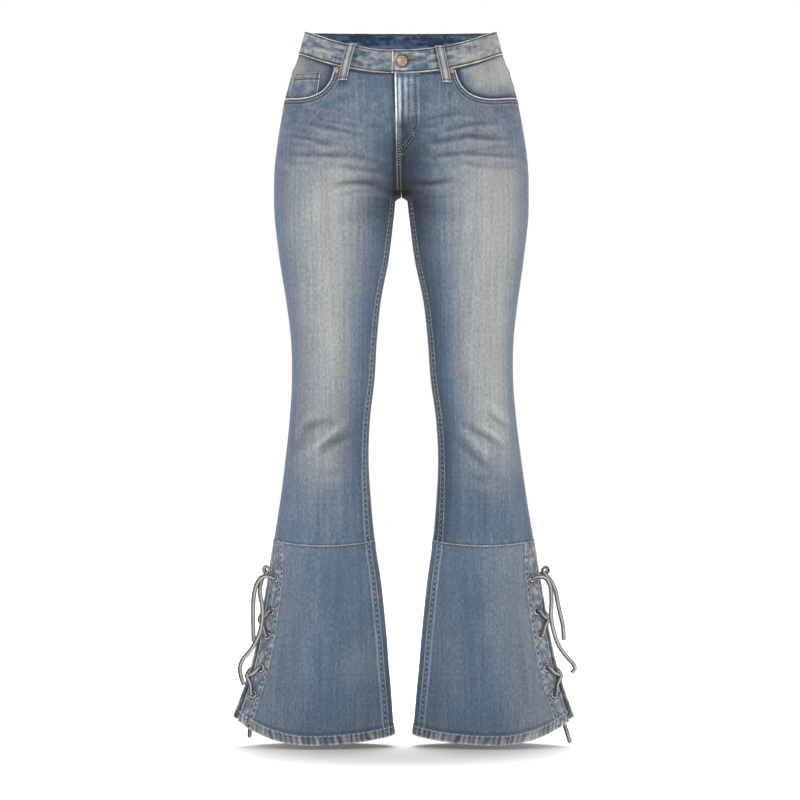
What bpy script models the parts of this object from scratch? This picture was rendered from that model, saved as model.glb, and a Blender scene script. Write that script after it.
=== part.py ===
"""Flared jeans with side vents laced through eyelets, in the hollow form they take when worn.

+X is the viewer's right, the front faces -Y, +Z is up. The origin is the middle of the waist
opening, level with the top of the waistband at the hips. Sizes below are millimetres; MM turns
them into Blender's metres.
"""

import math
from collections import namedtuple

import bmesh
import bpy
from mathutils import Matrix, Vector

MM = 0.001

# Cloth, mm
CLOTH = 1.4
DOUBLE_CLOTH = 2.4
SEAM_GAP = 0.3
PATCH_LIFT = 1.1

# Heights of the main lines, mm below the waist at the side
BAND_HEIGHT = 35.0
FRONT_DROP = 37.0
BACK_RISE = 8.5
CROTCH_Z = -241.0
CROSS_SEAM_Z = -761.0
CROSS_SEAM_DIP = 6.0
HEM_Z = -1065.0
HEM_SIDE_RISE = 39.0
HEM_INSIDE_RISE = 12.0
HEM_DEPTH = 15.0

# Seam lines, degrees round the leg: 0 is the side, 90 the front, 180 the inside of the leg
SIDE_SEAM = 4.0
INSEAM = 168.0
INSEAM_RUN = 55.0
# How round the inner half of a section is: 1 is an ellipse, less is squarer
ROUND = 0.95

# Lacing
VENT_TOP_HALF = 1.0
VENT_TOP_SHARE = 0.171
VENT_FRONT_OPEN = (13.0, 6.0)
VENT_BACK_OPEN = (14.0, -3.0)
BAND_WIDTH = 28.0
EYELET_INSET = 13.0
EYELET_STEPS = (0.203, 0.38, 0.513, 0.69, 0.833)
EYELET_HOLE = 3.75
EYELET_FLAT = 6.5
EYELET_TUBE = 2.85
EYELET_FLANGE = 5.7
EYELET_REACH = 0.03
LACE_DIAMETER = 4.4
LACE_STEP = 12.0

Section = namedtuple("Section", "z outer axis inner front back lens sway")

# Outline of one leg and half the seat at each height: outer and inner edge and the leg's axis,
# measured from the middle; depth in front and behind; how much the side edge sharpens into a
# lens (1 is an ellipse); and how far both legs hang to the viewer's right.
SECTIONS = [
    Section(*row)
    for row in (
        (12, 140, 0, -300, 88, 92, 0.95, -1.0),
        (0, 143, 0, -300, 91, 95, 0.95, -1.0),
        (-18, 148, 4, -298, 94, 99, 0.95, -1.0),
        (-42, 155, 12, -290, 98, 105, 0.95, -1.0),
        (-72, 166, 26, -265, 102, 112, 0.95, -0.8),
        (-102, 174, 42, -230, 105, 119, 0.95, -0.6),
        (-132, 180, 55, -180, 106, 124, 0.95, -0.4),
        (-162, 185, 66.5, -125, 105, 127, 0.95, -0.3),
        (-192, 189, 77, -72, 103, 126, 0.95, -0.2),
        (-212, 190.5, 83.5, -38, 101, 122, 0.95, -0.2),
        (-228, 191, 88, -15, 99.5, 117.5, 0.95, -0.2),
        (-236, 191, 90.2, -5.5, 98.7, 115, 0.95, -0.2),
        (-241, 191, 91.4, 0, 98.1, 113.4, 0.95, -0.2),
        (-245, 191, 92.4, 2, 97.6, 112.1, 0.95, -0.2),
        (-252, 191, 94, 8.2, 96.8, 110, 0.95, -0.2),
        (-282, 190, 98.5, 12, 93, 102, 0.95, 0.0),
        (-342, 183, 101.5, 19.5, 84, 90, 0.95, 0.2),
        (-402, 174, 103, 31.5, 76, 80, 0.95, 0.8),
        (-462, 167, 103, 38, 69, 72, 0.95, 1.2),
        (-522, 166, 104, 42, 65, 66, 0.95, 1.6),
        (-582, 170, 110, 49.5, 61, 68, 0.95, 2.2),
        (-642, 177, 115, 52, 60, 70, 1.00, 2.8),
        (-702, 185, 117, 49, 60, 68, 1.15, 3.2),
        (-762, 195, 120, 43.5, 56, 63, 1.60, 3.5),
        (-825, 207, 122, 34.5, 50, 55, 2.25, 3.9),
        (-906, 221, 125, 26, 48, 52, 2.40, 3.9),
        (-950, 231, 128, 22.5, 49, 53, 2.40, 3.7),
        (-987, 243, 131, 19, 50, 54, 2.35, 3.5),
        (-1026, 257, 134.5, 16, 51, 55, 2.30, 3.2),
        (-1060, 268, 138, 13, 52, 55, 2.30, 3.0),
    )
]

# The largest folds: soft troughs across one leg, from one turn and height to another
Fold = namedtuple("Fold", "side turn_from z_from turn_to z_to depth half_width")
FOLDS = [
    Fold(*row)
    for row in (
        (-1, 70, -221, 140, -236, 3.0, 13),
        (1, 85, -220, 142, -233, 3.0, 13),
        (-1, 45, -597, 108, -580, 3.2, 12),
        (-1, 66, -630, 138, -588, 3.4, 13),
        (1, 50, -620, 116, -578, 3.2, 11),
        (1, 68, -658, 132, -598, 3.4, 12),
        (-1, 222, -262, 300, -250, 3.2, 15),
        (1, 220, -258, 296, -253, 3.2, 15),
        (-1, 226, -568, 312, -590, 3.6, 14),
        (1, 230, -588, 316, -570, 3.6, 14),
        (-1, 238, -622, 300, -606, 2.6, 13),
        (1, 228, -610, 292, -624, 2.6, 13),
    )
]

# Rows of the upper panels, nominal heights
UPPER_ROWS = (
    -35, -60, -90, -120, -150, -178, -200, -215, -228, -241, -251, -266, -295, -340, -390,
    -440, -490, -540, -568, -586, -604, -622, -645, -690, -728, -761,
)
UPPER_COLUMNS = 12
BACK_FIRST_ROW = 2
YOKE_SIDE_DEPTH = 28.0
YOKE_MIDDLE_DEPTH = 62.0
FLARE_ROWS = (0.0, 0.09, 0.171, 0.29, 0.42, 0.56, 0.7, 0.84)
FLARE_COLUMNS = 9
WAIST_COLUMNS = 48
# The waistband's upper end, the end under it, and where the under end starts to tuck in
BAND_OVER_X = -12.0
BAND_UNDER_X = 24.0
BAND_TUCK_FROM = 0.90
BAND_TUCK_RUN = 0.04

# Front pocket mouth on the viewer's right: distance from the middle and height. The left one
# lies further out and higher.
POCKET_MOUTH = (
    (78.5, -52), (80.5, -72), (87, -88), (98, -100), (114.5, -107), (133.5, -108.5),
    (152.5, -106), (172, -102.5), (215, -98.5),
)
POCKET_LEFT_SHIFT = (18.5, 2.5)
FACING_BELOW = 11.0
FACING_DEPTH = 2.3
FACING_CLOTH = 1.2
# Coin pocket: its upper edge at the side and at its inner corner, and its lower inner corner
COIN_POCKET_TOP = (-66.0, -68.5)
COIN_POCKET_INNER = (-119.0, -124.0)
COIN_POCKET_SIDE = 7.0
COIN_POCKET_CLOTH = 1.1
COIN_POCKET_GAP = 0.6
COIN_POCKET_CLEAR = 1.6

# Fly placket: right edge at each height
FLY_EDGE = (
    (-72, 27), (-100, 27), (-126, 27.5), (-148, 27.5), (-160, 23.5), (-172, 17), (-182, 9.5),
    (-189, 3),
)
FLY_LEFT = -9.0
FLY_LIFT = 0.6
FLY_CLOTH = 1.2
ZIP_FROM, ZIP_TO = -78.0, -166.0
ZIP_HALF_WIDTH = 14.0
ZIP_THICKNESS = 1.4
ZIP_BEHIND = 2.4

# Back pockets
BACK_POCKET_TOP = -112.0
BACK_POCKET_SIDE = -226.0
BACK_POCKET_POINT = 22.0
BACK_POCKET_TOP_X = (28.0, 160.0)
BACK_POCKET_LOW_X = (38.0, 152.0)

BeltLoop = namedtuple("BeltLoop", "name top low front")
BELT_LOOPS = (
    BeltLoop("belt_loop_front_left", -71.5, -85.5, True),
    BeltLoop("belt_loop_front_right", 56, 67, True),
    BeltLoop("belt_loop_back_left", -92, -97, False),
    BeltLoop("belt_loop_back_right", 92, 97, False),
    BeltLoop("belt_loop_back_middle", 0.4, 0.4, False),
)
LOOP_WIDTH = 12.6
LOOP_LENGTH = 54.5
LOOP_CLOTH = 1.8
LOOP_ABOVE = 0.0
# How far the loop stands off the band along its length
LOOP_BOW = (
    (0, 0.7), (0.07, 2.2), (0.2, 3.5), (0.45, 3.7), (0.7, 3.4), (0.86, 2.4), (0.95, 1.2), (1, 0.8),
)

BUTTON_AT = (1.3, -54.5)
BUTTON_RADIUS = 8.25
RIVETS = {"rivet_left": (-94.5, -66.0), "rivet_right": (74.8, -67.0)}

SIDES = {"left": -1, "right": 1}


# ---- section of the garment at any height -------------------------------------------------


def smooth_between(rows, at):
    """Smooth value between the rows of a falling table, whose first column is the height."""
    last = len(rows) - 1
    at = min(max(at, rows[last][0]), rows[0][0])
    i = next(k for k in range(last) if at >= rows[k + 1][0])
    z0, z1 = rows[i][0], rows[i + 1][0]
    t = (at - z0) / (z1 - z0)
    values = []
    for column in range(1, len(rows[0])):

        def slope(k):
            a, b = max(k - 1, 0), min(k + 1, last)
            return (rows[b][column] - rows[a][column]) / (rows[b][0] - rows[a][0])

        v0, v1 = rows[i][column], rows[i + 1][column]
        m0, m1 = slope(i) * (z1 - z0), slope(i + 1) * (z1 - z0)
        values.append(
            v0 * (1 + 2 * t) * (1 - t) ** 2
            + m0 * t * (1 - t) ** 2
            + v1 * t * t * (3 - 2 * t)
            + m1 * t * t * (t - 1)
        )
    return values


def section_at(z):
    return Section(z, *smooth_between(SECTIONS, z))


def fold_depth(side, z, turn):
    """How far the folds push the cloth in at a place."""
    total = 0.0
    for fold in FOLDS:
        along = (turn % 360.0 - fold.turn_from) / (fold.turn_to - fold.turn_from)
        if fold.side != side or not 0.0 < along < 1.0:
            continue
        middle = fold.z_from + (fold.z_to - fold.z_from) * along
        across = abs(z - middle) / fold.half_width
        if across < 1.0:
            total += fold.depth * math.sin(math.pi * along) * (1.0 - across * across) ** 2
    return total


def leg_point(side, z, turn):
    """Point of the outer face of one half (side -1 or 1) at a height and a turn in degrees."""
    s = section_at(z)
    c, n = math.cos(math.radians(turn)), math.sin(math.radians(turn))
    if c > 0:
        x = s.axis + (s.outer - s.axis) * c
        power = s.lens
    else:
        x = s.axis + (s.axis - s.inner) * c
        power = ROUND
    depth = abs(n) ** power
    y = -s.front * depth if n > 0 else s.back * depth
    fold = fold_depth(side, z, turn)
    return Vector((side * (x - fold * c) + s.sway, y + fold * n, z))


def leg_normal(side, z, turn):
    """Unit normal out of the cloth."""
    around = leg_point(side, z, turn + 1.5) - leg_point(side, z, turn - 1.5)
    along = leg_point(side, z - 2.0, turn) - leg_point(side, z + 2.0, turn)
    return (around.cross(along) * side).normalized()


def turn_at(z, x, front):
    """Turn of the point at distance x from the middle."""
    s = section_at(z)
    half = s.outer - s.axis if x > s.axis else s.axis - s.inner
    turn = math.degrees(math.acos(max(-1.0, min(1.0, (x - s.axis) / half))))
    return turn if front else 360.0 - turn


def middle_turn(z, front):
    """Turn at which one half ends: the middle of the seat, or the inseam below the crotch."""
    if z >= CROTCH_Z:
        return turn_at(z, 0.0, front)
    below = min(1.0, (CROTCH_Z - z) / INSEAM_RUN)
    return 180.0 - (180.0 - INSEAM) * below ** 0.7


def at_x(x, z, front, out=0.0):
    """(point, normal) of the garment at x across the whole width, out mm off its face."""
    side = 1 if x >= 0 else -1
    turn = turn_at(z, abs(x), front)
    normal = leg_normal(side, z, turn)
    return leg_point(side, z, turn) + normal * out, normal


# ---- heights that depend on the place round the garment ------------------------------------


def waist_rise(turn):
    n = math.sin(math.radians(turn))
    return -FRONT_DROP * n * n if n > 0 else -BACK_RISE * n


def upper_height(nominal, turn):
    """Height of an upper panel's row: it follows the waist at the top, the cross seam below."""
    height = nominal
    if nominal > -200.0:
        height += waist_rise(turn) * min(1.0, (nominal + 200.0) / (200.0 - BAND_HEIGHT))
    if nominal < -700.0:
        dip = CROSS_SEAM_DIP * math.sin(math.radians(turn)) ** 2
        height -= dip * (-700.0 - nominal) / (-700.0 - CROSS_SEAM_Z)
    return height


def flare_height(t, turn):
    """Height of a flare panel's row, 0 at the cross seam and 1 at the hem."""
    c, n = math.cos(math.radians(turn)), math.sin(math.radians(turn))
    seam = CROSS_SEAM_Z - CROSS_SEAM_DIP * n * n
    hem = HEM_Z + (HEM_SIDE_RISE if c > 0 else HEM_INSIDE_RISE) * c * c
    return seam + (hem - seam) * t


def vent_turn(t, front):
    """Turn of the vent's edge: it opens quickly below the cross seam, then slowly."""
    quick, slow = VENT_FRONT_OPEN if front else VENT_BACK_OPEN
    opened = VENT_TOP_HALF + quick * min(1.0, t / VENT_TOP_SHARE) + slow * t
    return SIDE_SEAM + opened if front else SIDE_SEAM - opened


def walk(side, t, start, distance, front):
    """Turn reached after a distance along the cloth at row t of a flare panel."""
    step = 0.5 if front else -0.5
    turn, done = start, 0.0
    here = leg_point(side, flare_height(t, turn), turn)
    while True:
        there = leg_point(side, flare_height(t, turn + step), turn + step)
        length = (there - here).length
        if done + length >= distance:
            return turn + step * (distance - done) / length
        done, turn, here = done + length, turn + step, there


def flare_point(side, t, turn):
    z = flare_height(t, turn)
    return leg_point(side, z, turn), leg_normal(side, z, turn)


# ---- mesh helpers ---------------------------------------------------------------------------


def material(name, colour, roughness, metallic=0.0):
    made = bpy.data.materials.get(name)
    if made:
        return made
    made = bpy.data.materials.new(name)
    made.use_nodes = True
    shader = made.node_tree.nodes["Principled BSDF"]
    shader.inputs["Base Color"].default_value = (*colour, 1.0)
    shader.inputs["Roughness"].default_value = roughness
    shader.inputs["Metallic"].default_value = metallic
    return made


DENIM = ("denim", (0.17, 0.23, 0.33), 0.88)
DENIM_BAND = ("denim_band", (0.14, 0.19, 0.28), 0.88)
LACE = ("lace", (0.21, 0.19, 0.17), 0.7)
COPPER = ("aged_copper", (0.50, 0.29, 0.17), 0.38, 1.0)
SILVER = ("old_silver", (0.52, 0.49, 0.42), 0.35, 1.0)


def new_object(name, mesh, look):
    mesh.materials.append(material(*look))
    made = bpy.data.objects.new(name, mesh)
    bpy.data.collections["flared_jeans"].objects.link(made)
    return made


def draw_in(grid, gap):
    """Moves each border of a grid of (point, normal) inwards by gap."""

    def pull(points, first, second):
        moved = points[first]
        step = points[second][0] - moved[0]
        points[first] = (moved[0] + step.normalized() * gap, moved[1])

    for row in grid:
        pull(row, 0, 1)
        pull(row, -1, -2)
    for column in range(len(grid[0])):
        line = [row[column] for row in grid]
        pull(line, 0, 1)
        pull(line, -1, -2)
        for row, cell in zip(grid, line):
            row[column] = cell


def cloth_wall(name, grid, look, thickness=CLOTH, lift=0.0, gap=SEAM_GAP / 2):
    """Closed cloth wall between a grid of (point, normal) and the same grid set back.

    thickness may be a list with a value for each row, and lift one for each column."""
    draw_in(grid, gap)
    rows, columns = len(grid), len(grid[0])
    mesh = bpy.data.meshes.new(name)
    made = bmesh.new()
    layers = []
    for depth in (0, 1):
        layer = []
        for r, row in enumerate(grid):
            line = []
            for c, (point, normal) in enumerate(row):
                stands = lift[c] if isinstance(lift, list) else lift
                wall = thickness[r] if isinstance(thickness, list) else thickness
                line.append(made.verts.new((point + normal * (stands - depth * wall)) * MM))
            layer.append(line)
        layers.append(layer)
    outer, inner = layers
    for r in range(rows - 1):
        for c in range(columns - 1):
            corners = ((r, c), (r, c + 1), (r + 1, c + 1), (r + 1, c))
            made.faces.new([outer[i][j] for i, j in corners])
            made.faces.new([inner[i][j] for i, j in reversed(corners)])
    rim = [(0, c) for c in range(columns)]
    rim += [(r, columns - 1) for r in range(1, rows)]
    rim += [(rows - 1, c) for c in range(columns - 2, -1, -1)]
    rim += [(r, 0) for r in range(rows - 2, 0, -1)]
    for (r0, c0), (r1, c1) in zip(rim, rim[1:] + rim[:1]):
        made.faces.new((outer[r1][c1], outer[r0][c0], inner[r0][c0], inner[r1][c1]))
    made.normal_update()
    made.faces.ensure_lookup_table()
    if made.faces[0].normal.dot(grid[0][0][1]) < 0:
        bmesh.ops.reverse_faces(made, faces=made.faces)
    made.to_mesh(mesh)
    made.free()
    mesh.shade_smooth()
    mesh.set_sharp_from_angle(angle=math.radians(40))
    return new_object(name, mesh, look)


def steps(start, stop, count):
    return [start + (stop - start) * k / (count - 1) for k in range(count)]


def cut(target, cutter, name):
    cutter.hide_render = True
    cutter.display_type = "WIRE"
    hole = target.modifiers.new(name, "BOOLEAN")
    hole.operation = "DIFFERENCE"
    hole.solver = "EXACT"
    hole.object = cutter


# ---- cloth pieces ---------------------------------------------------------------------------


def settle(start, share, height_at, limit_at):
    """(turn, height) of a point at a share of the way from start to a limit that depends on
    the height, where the height depends on the turn."""
    turn = start + (limit_at(height_at(start)) - start) * share
    for _ in range(4):
        z = height_at(turn)
        turn = start + (limit_at(z) - start) * share
    return turn, z


def panel_row(side, height_at, front):
    """Points from the side seam to the middle or the inseam, round the front or the back."""
    start = SIDE_SEAM if front else 360.0 + SIDE_SEAM
    row = []
    for share in steps(0.0, 1.0, UPPER_COLUMNS + 1):
        turn, z = settle(start, share, height_at, lambda z: middle_turn(z, front))
        row.append((leg_point(side, z, turn), leg_normal(side, z, turn)))
    return row


def front_panel(name, side):
    grid = []
    for nominal in UPPER_ROWS:
        grid.append(panel_row(side, lambda turn: upper_height(nominal, turn), True))
    panel = cloth_wall(name, grid, DENIM)
    cut(panel, pocket_cutter(name + "_mouth", side), "pocket mouth")
    return panel


def pocket_mouth(side):
    out, up = POCKET_LEFT_SHIFT if side < 0 else (0.0, 0.0)
    return [(side * (x + out), z + up) for x, z in POCKET_MOUTH]


def pocket_cutter(name, side):
    """Prism through the front only, above the pocket's curved mouth."""
    outline = pocket_mouth(side)
    outline.append((outline[-1][0], 0.0))
    outline.append((outline[0][0], 0.0))
    made = bmesh.new()
    verts = [made.verts.new(Vector((x, -160.0, z)) * MM) for x, z in outline]
    face = made.faces.new(verts)
    deep = bmesh.ops.extrude_face_region(made, geom=[face])["geom"]
    moved = [v for v in deep if isinstance(v, bmesh.types.BMVert)]
    bmesh.ops.translate(made, verts=moved, vec=(0.0, 159.0 * MM, 0.0))
    bmesh.ops.recalc_face_normals(made, faces=made.faces)
    mesh = bpy.data.meshes.new(name)
    made.to_mesh(mesh)
    made.free()
    cutter = bpy.data.objects.new(name, mesh)
    bpy.data.collections["cutters"].objects.link(cutter)
    return cutter


def back_panel(name, side):
    grid = []
    for nominal in UPPER_ROWS[BACK_FIRST_ROW:]:
        grid.append(panel_row(side, lambda turn: back_height(nominal, turn), False))
    return cloth_wall(name, grid, DENIM)


def yoke_low(turn):
    """Lower edge of the yoke, deeper towards the middle of the back."""
    deep = YOKE_SIDE_DEPTH + (YOKE_MIDDLE_DEPTH - YOKE_SIDE_DEPTH) * abs(math.sin(math.radians(turn)))
    return upper_height(-BAND_HEIGHT, turn) - deep


def back_height(nominal, turn):
    """Rows under the yoke are pressed down where the yoke is deep."""
    height = upper_height(nominal, turn)
    top = UPPER_ROWS[BACK_FIRST_ROW]
    if nominal > -200.0:
        push = yoke_low(turn) - upper_height(top, turn)
        height += push * (nominal + 200.0) / (top + 200.0)
    return height


def yoke(name, side):
    grid = []
    for down in steps(0.0, 1.0, 3):

        def height_at(turn):
            top = upper_height(-BAND_HEIGHT, turn)
            return top + (yoke_low(turn) - top) * down

        grid.append(panel_row(side, height_at, False))
    return cloth_wall(name, grid, DENIM)


def waistband():
    """One strip round the waist. Its end on the viewer's right is tucked behind the other."""
    rows = (0.0, 0.5, 1.0)
    grid = [[] for _ in rows]
    lift = []
    half = section_at(0.0).outer
    over = math.degrees(math.acos(BAND_OVER_X / half))
    under = math.degrees(math.acos(BAND_UNDER_X / half))
    for share in steps(0.0, 1.0, WAIST_COLUMNS + 1):
        # from the upper end at the front, by the viewer's right, back and left to the under end
        angle = (over - (360.0 + over - under) * share) % 360.0
        side = 1 if angle <= 90.0 or angle > 270.0 else -1
        turn = angle if side > 0 else (180.0 - angle) % 360.0
        tuck = max(0.0, min(1.0, (share - BAND_TUCK_FROM) / BAND_TUCK_RUN))
        lift.append(-(DOUBLE_CLOTH + SEAM_GAP * 1.5) * tuck)
        c, n = math.cos(math.radians(turn)), math.sin(math.radians(turn))
        for line, down in zip(grid, rows):
            z = waist_rise(turn) - BAND_HEIGHT * down
            # the same share of the half width on all rows, so that the strip's ends are upright
            local = turn_at(z, abs(c) * section_at(z).outer, n > 0)
            if abs(n) < 0.02:
                local = turn
            line.append((leg_point(side, z, local), leg_normal(side, z, local)))
    return cloth_wall("waistband", grid, DENIM_BAND, DOUBLE_CLOTH, lift)


def mouth_height(side, x):
    """Height of the pocket mouth's curve at x."""
    curve = [(abs(px), pz) for px, pz in pocket_mouth(side)]
    for (x0, z0), (x1, z1) in zip(curve, curve[1:]):
        if x0 <= abs(x) <= x1:
            return z0 + (z1 - z0) * (abs(x) - x0) / (x1 - x0)
    return curve[-1][1]


def pocket_facing(name, side):
    """The cloth that shows inside the pocket mouth, one layer below the front panel."""
    inner_x = abs(pocket_mouth(side)[0][0]) - FACING_BELOW
    low = min(z for x, z in POCKET_MOUTH) - FACING_BELOW
    grid = []
    for share_down in steps(0.0, 1.0, 5):

        def height_at(turn):
            top = upper_height(-BAND_HEIGHT, turn)
            return top + (low - top) * share_down

        row = []
        for share in steps(0.0, 1.0, 9):
            turn, z = settle(SIDE_SEAM, share, height_at, lambda z: turn_at(z, inner_x, True))
            row.append((leg_point(side, z, turn), leg_normal(side, z, turn)))
        grid.append(row)
    return cloth_wall(name, grid, DENIM, FACING_CLOTH, -FACING_DEPTH)


def coin_pocket():
    """Small pocket on the facing at the viewer's left, above the pocket mouth."""
    grid = []
    for share_down in steps(0.0, 1.0, 4):
        inner_x = COIN_POCKET_INNER[0] + (COIN_POCKET_INNER[1] - COIN_POCKET_INNER[0]) * share_down
        row = []
        for share in steps(0.0, 1.0, 6):
            top = COIN_POCKET_TOP[0] + (COIN_POCKET_TOP[1] - COIN_POCKET_TOP[0]) * share
            outer_x = COIN_POCKET_SIDE - section_at(top).outer
            low = mouth_height(-1, outer_x + (inner_x - outer_x) * share) + COIN_POCKET_CLEAR
            z = top + (low - top) * share_down
            outer_x = COIN_POCKET_SIDE - section_at(z).outer
            row.append(at_x(outer_x + (inner_x - outer_x) * share, z, True))
        grid.append(row)
    lift = COIN_POCKET_GAP + COIN_POCKET_CLOTH - FACING_DEPTH
    return cloth_wall("coin_pocket", grid, DENIM, COIN_POCKET_CLOTH, lift)


def straight_between(rows, at):
    for (z0, v0), (z1, v1) in zip(rows, rows[1:]):
        if z1 <= at <= z0:
            return v0 + (v1 - v0) * (at - z0) / (z1 - z0)
    return rows[-1][1] if at < rows[-1][0] else rows[0][1]


def fly_placket():
    """J-shaped overlap on the front, from just left of the middle."""
    grid = []
    top = upper_height(-BAND_HEIGHT, 90.0) - SEAM_GAP
    for z in [top] + [z for z, _ in FLY_EDGE[1:]]:
        right = straight_between(FLY_EDGE, z)
        row = []
        for x in (FLY_LEFT, FLY_LEFT / 2, 0.0, right / 2, right):
            row.append(at_x(x, z, True))
        grid.append(row)
    return cloth_wall("fly_placket", grid, DENIM, FLY_CLOTH, FLY_LIFT + FLY_CLOTH)


def fly_zip():
    """Closed zip: its tape lies behind the placket, inside the front panels."""
    grid = []
    behind = Vector((0.0, -1.0, 0.0))
    for z in steps(ZIP_FROM, ZIP_TO, 6):
        row = []
        for x in steps(-ZIP_HALF_WIDTH, ZIP_HALF_WIDTH, 5):
            row.append((at_x(x, z, True)[0], behind))
        grid.append(row)
    return cloth_wall("fly_zip", grid, SILVER, ZIP_THICKNESS, -ZIP_BEHIND)


def back_pocket(name, side):
    grid = []
    for share_down in steps(0.0, 1.0, 8):
        row = []
        for share in steps(0.0, 1.0, 13):
            top_x = BACK_POCKET_TOP_X[0] + (BACK_POCKET_TOP_X[1] - BACK_POCKET_TOP_X[0]) * share
            low_x = BACK_POCKET_LOW_X[0] + (BACK_POCKET_LOW_X[1] - BACK_POCKET_LOW_X[0]) * share
            low_z = BACK_POCKET_SIDE - BACK_POCKET_POINT * (1.0 - abs(2.0 * share - 1.0))
            x = top_x + (low_x - top_x) * share_down
            z = BACK_POCKET_TOP + (low_z - BACK_POCKET_TOP) * share_down
            row.append(at_x(side * x, z, False))
        grid.append(row)
    return cloth_wall(name, grid, DENIM, CLOTH, PATCH_LIFT + CLOTH)


def belt_loop(spec):
    grid = []
    start = waist_rise(turn_at(0.0, abs(spec.top), spec.front)) + LOOP_ABOVE
    for share, bow in LOOP_BOW:
        x = spec.top + (spec.low - spec.top) * share
        z = start - LOOP_LENGTH * share
        row = []
        for across in (-LOOP_WIDTH / 2, 0.0, LOOP_WIDTH / 2):
            row.append(at_x(x + across, z, spec.front, bow + LOOP_CLOTH))
        grid.append(row)
    return cloth_wall(spec.name, grid, DENIM_BAND, LOOP_CLOTH)


def flare_panel(name, side, front):
    """Panel below the cross seam, from the vent band to the inseam, doubled at the hem."""
    grid, thickness = [], []
    hem_fold = 1.0 - HEM_DEPTH / (CROSS_SEAM_Z - HEM_Z)
    for t in FLARE_ROWS + (hem_fold, hem_fold + 0.004, 1.0):
        edge = walk(side, t, vent_turn(t, front), BAND_WIDTH, front)
        limit = INSEAM if front else INSEAM - 360.0
        row = []
        for share in steps(0.0, 1.0, FLARE_COLUMNS + 1):
            row.append(flare_point(side, t, edge + (limit - edge) * share))
        grid.append(row)
        thickness.append(DOUBLE_CLOTH if t > hem_fold else CLOTH)
    return cloth_wall(name, grid, DENIM, thickness)


def band_rows():
    """Rows of a vent band: a flat patch round each eyelet."""
    half = 0.032
    rows = list(FLARE_ROWS[:2])
    for t in EYELET_STEPS:
        rows += [t - half, t + half]
    return rows + [1.0]


def band_turns(side, t, front):
    """Turns of the four lines along a vent band, the middle two beside the eyelets."""
    start = vent_turn(t, front)
    insets = (0.0, EYELET_INSET - EYELET_FLAT, EYELET_INSET + EYELET_FLAT, BAND_WIDTH)
    return [walk(side, t, start, inset, front) for inset in insets]


def vent_band(name, side, front):
    grid = []
    for t in band_rows():
        grid.append([flare_point(side, t, turn) for turn in band_turns(side, t, front)])
    band = cloth_wall(name, grid, DENIM_BAND, DOUBLE_CLOTH)
    cutter = eyelet_cutter(name + "_holes", side, front)
    cut(band, cutter, "eyelet holes")
    return band


# ---- eyelets, button, rivets -----------------------------------------------------------------


def eyelet_place(side, t, front):
    """Middle of an eyelet on the flat patch of the band, and the way out of the cloth."""
    near, far = (flare_point(side, t, turn)[0] for turn in band_turns(side, t, front)[1:3])
    above = flare_point(side, t - EYELET_REACH, band_turns(side, t - EYELET_REACH, front)[1])[0]
    below = flare_point(side, t + EYELET_REACH, band_turns(side, t + EYELET_REACH, front)[1])[0]
    normal = (far - near).cross(below - above).normalized()
    middle = (near + far) / 2
    if normal.dot(middle - Vector((side * section_at(middle.z).axis, 0.0, middle.z))) < 0:
        normal.negate()
    return middle, normal


def placed(point, normal):
    """Matrix that sets an object's Z along normal at a point."""
    turned = normal.to_track_quat("Z", "Y").to_matrix().to_4x4()
    return Matrix.Translation(point * MM) @ turned


def eyelet_cutter(name, side, front):
    made = bmesh.new()
    for t in EYELET_STEPS:
        where = placed(*eyelet_place(side, t, front))
        bmesh.ops.create_cone(
            made,
            cap_ends=True,
            segments=8,
            radius1=EYELET_HOLE * MM,
            radius2=EYELET_HOLE * MM,
            depth=20.0 * MM,
            matrix=where,
        )
    mesh = bpy.data.meshes.new(name)
    made.to_mesh(mesh)
    made.free()
    cutter = bpy.data.objects.new(name, mesh)
    bpy.data.collections["cutters"].objects.link(cutter)
    return cutter


def turned_mesh(name, profile, closed):
    """Mesh of a profile (radius, height), run down its outer side, for a Screw modifier."""
    mesh = bpy.data.meshes.new(name)
    verts = [(r * MM, 0.0, h * MM) for r, h in profile]
    edges = [(k, k + 1) for k in range(len(verts) - 1)]
    if closed:
        edges.append((len(verts) - 1, 0))
    mesh.from_pydata(verts, edges, [])
    return mesh


def turned(name, mesh, look, count, where):
    made = bpy.data.objects.new(name, mesh)
    if not mesh.materials:
        mesh.materials.append(material(*look))
    bpy.data.collections["flared_jeans"].objects.link(made)
    screw = made.modifiers.new("turn", "SCREW")
    screw.steps = count
    screw.render_steps = count
    screw.use_merge_vertices = True
    screw.merge_threshold = 0.00001
    screw.use_smooth_shade = True
    made.matrix_world = where
    return made


def eyelets():
    """A flange in front, a barrel through the band and a clenched flange behind it."""
    rest = SEAM_GAP + 0.05
    barrel = EYELET_HOLE - rest
    under = -(DOUBLE_CLOTH + 0.4)
    profile = (
        (EYELET_TUBE, 1.0), (EYELET_FLANGE, rest), (barrel, rest),
        (barrel, under), (EYELET_FLANGE - 0.8, under), (EYELET_TUBE, under - 0.8),
    )
    mesh = turned_mesh("eyelet", profile, True)
    for leg, side in SIDES.items():
        for face, front in (("front", True), ("back", False)):
            for number, t in enumerate(EYELET_STEPS, 1):
                where = placed(*eyelet_place(side, t, front))
                turned(f"eyelet_{face}_{leg}_{number}", mesh, SILVER, 8, where)


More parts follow.
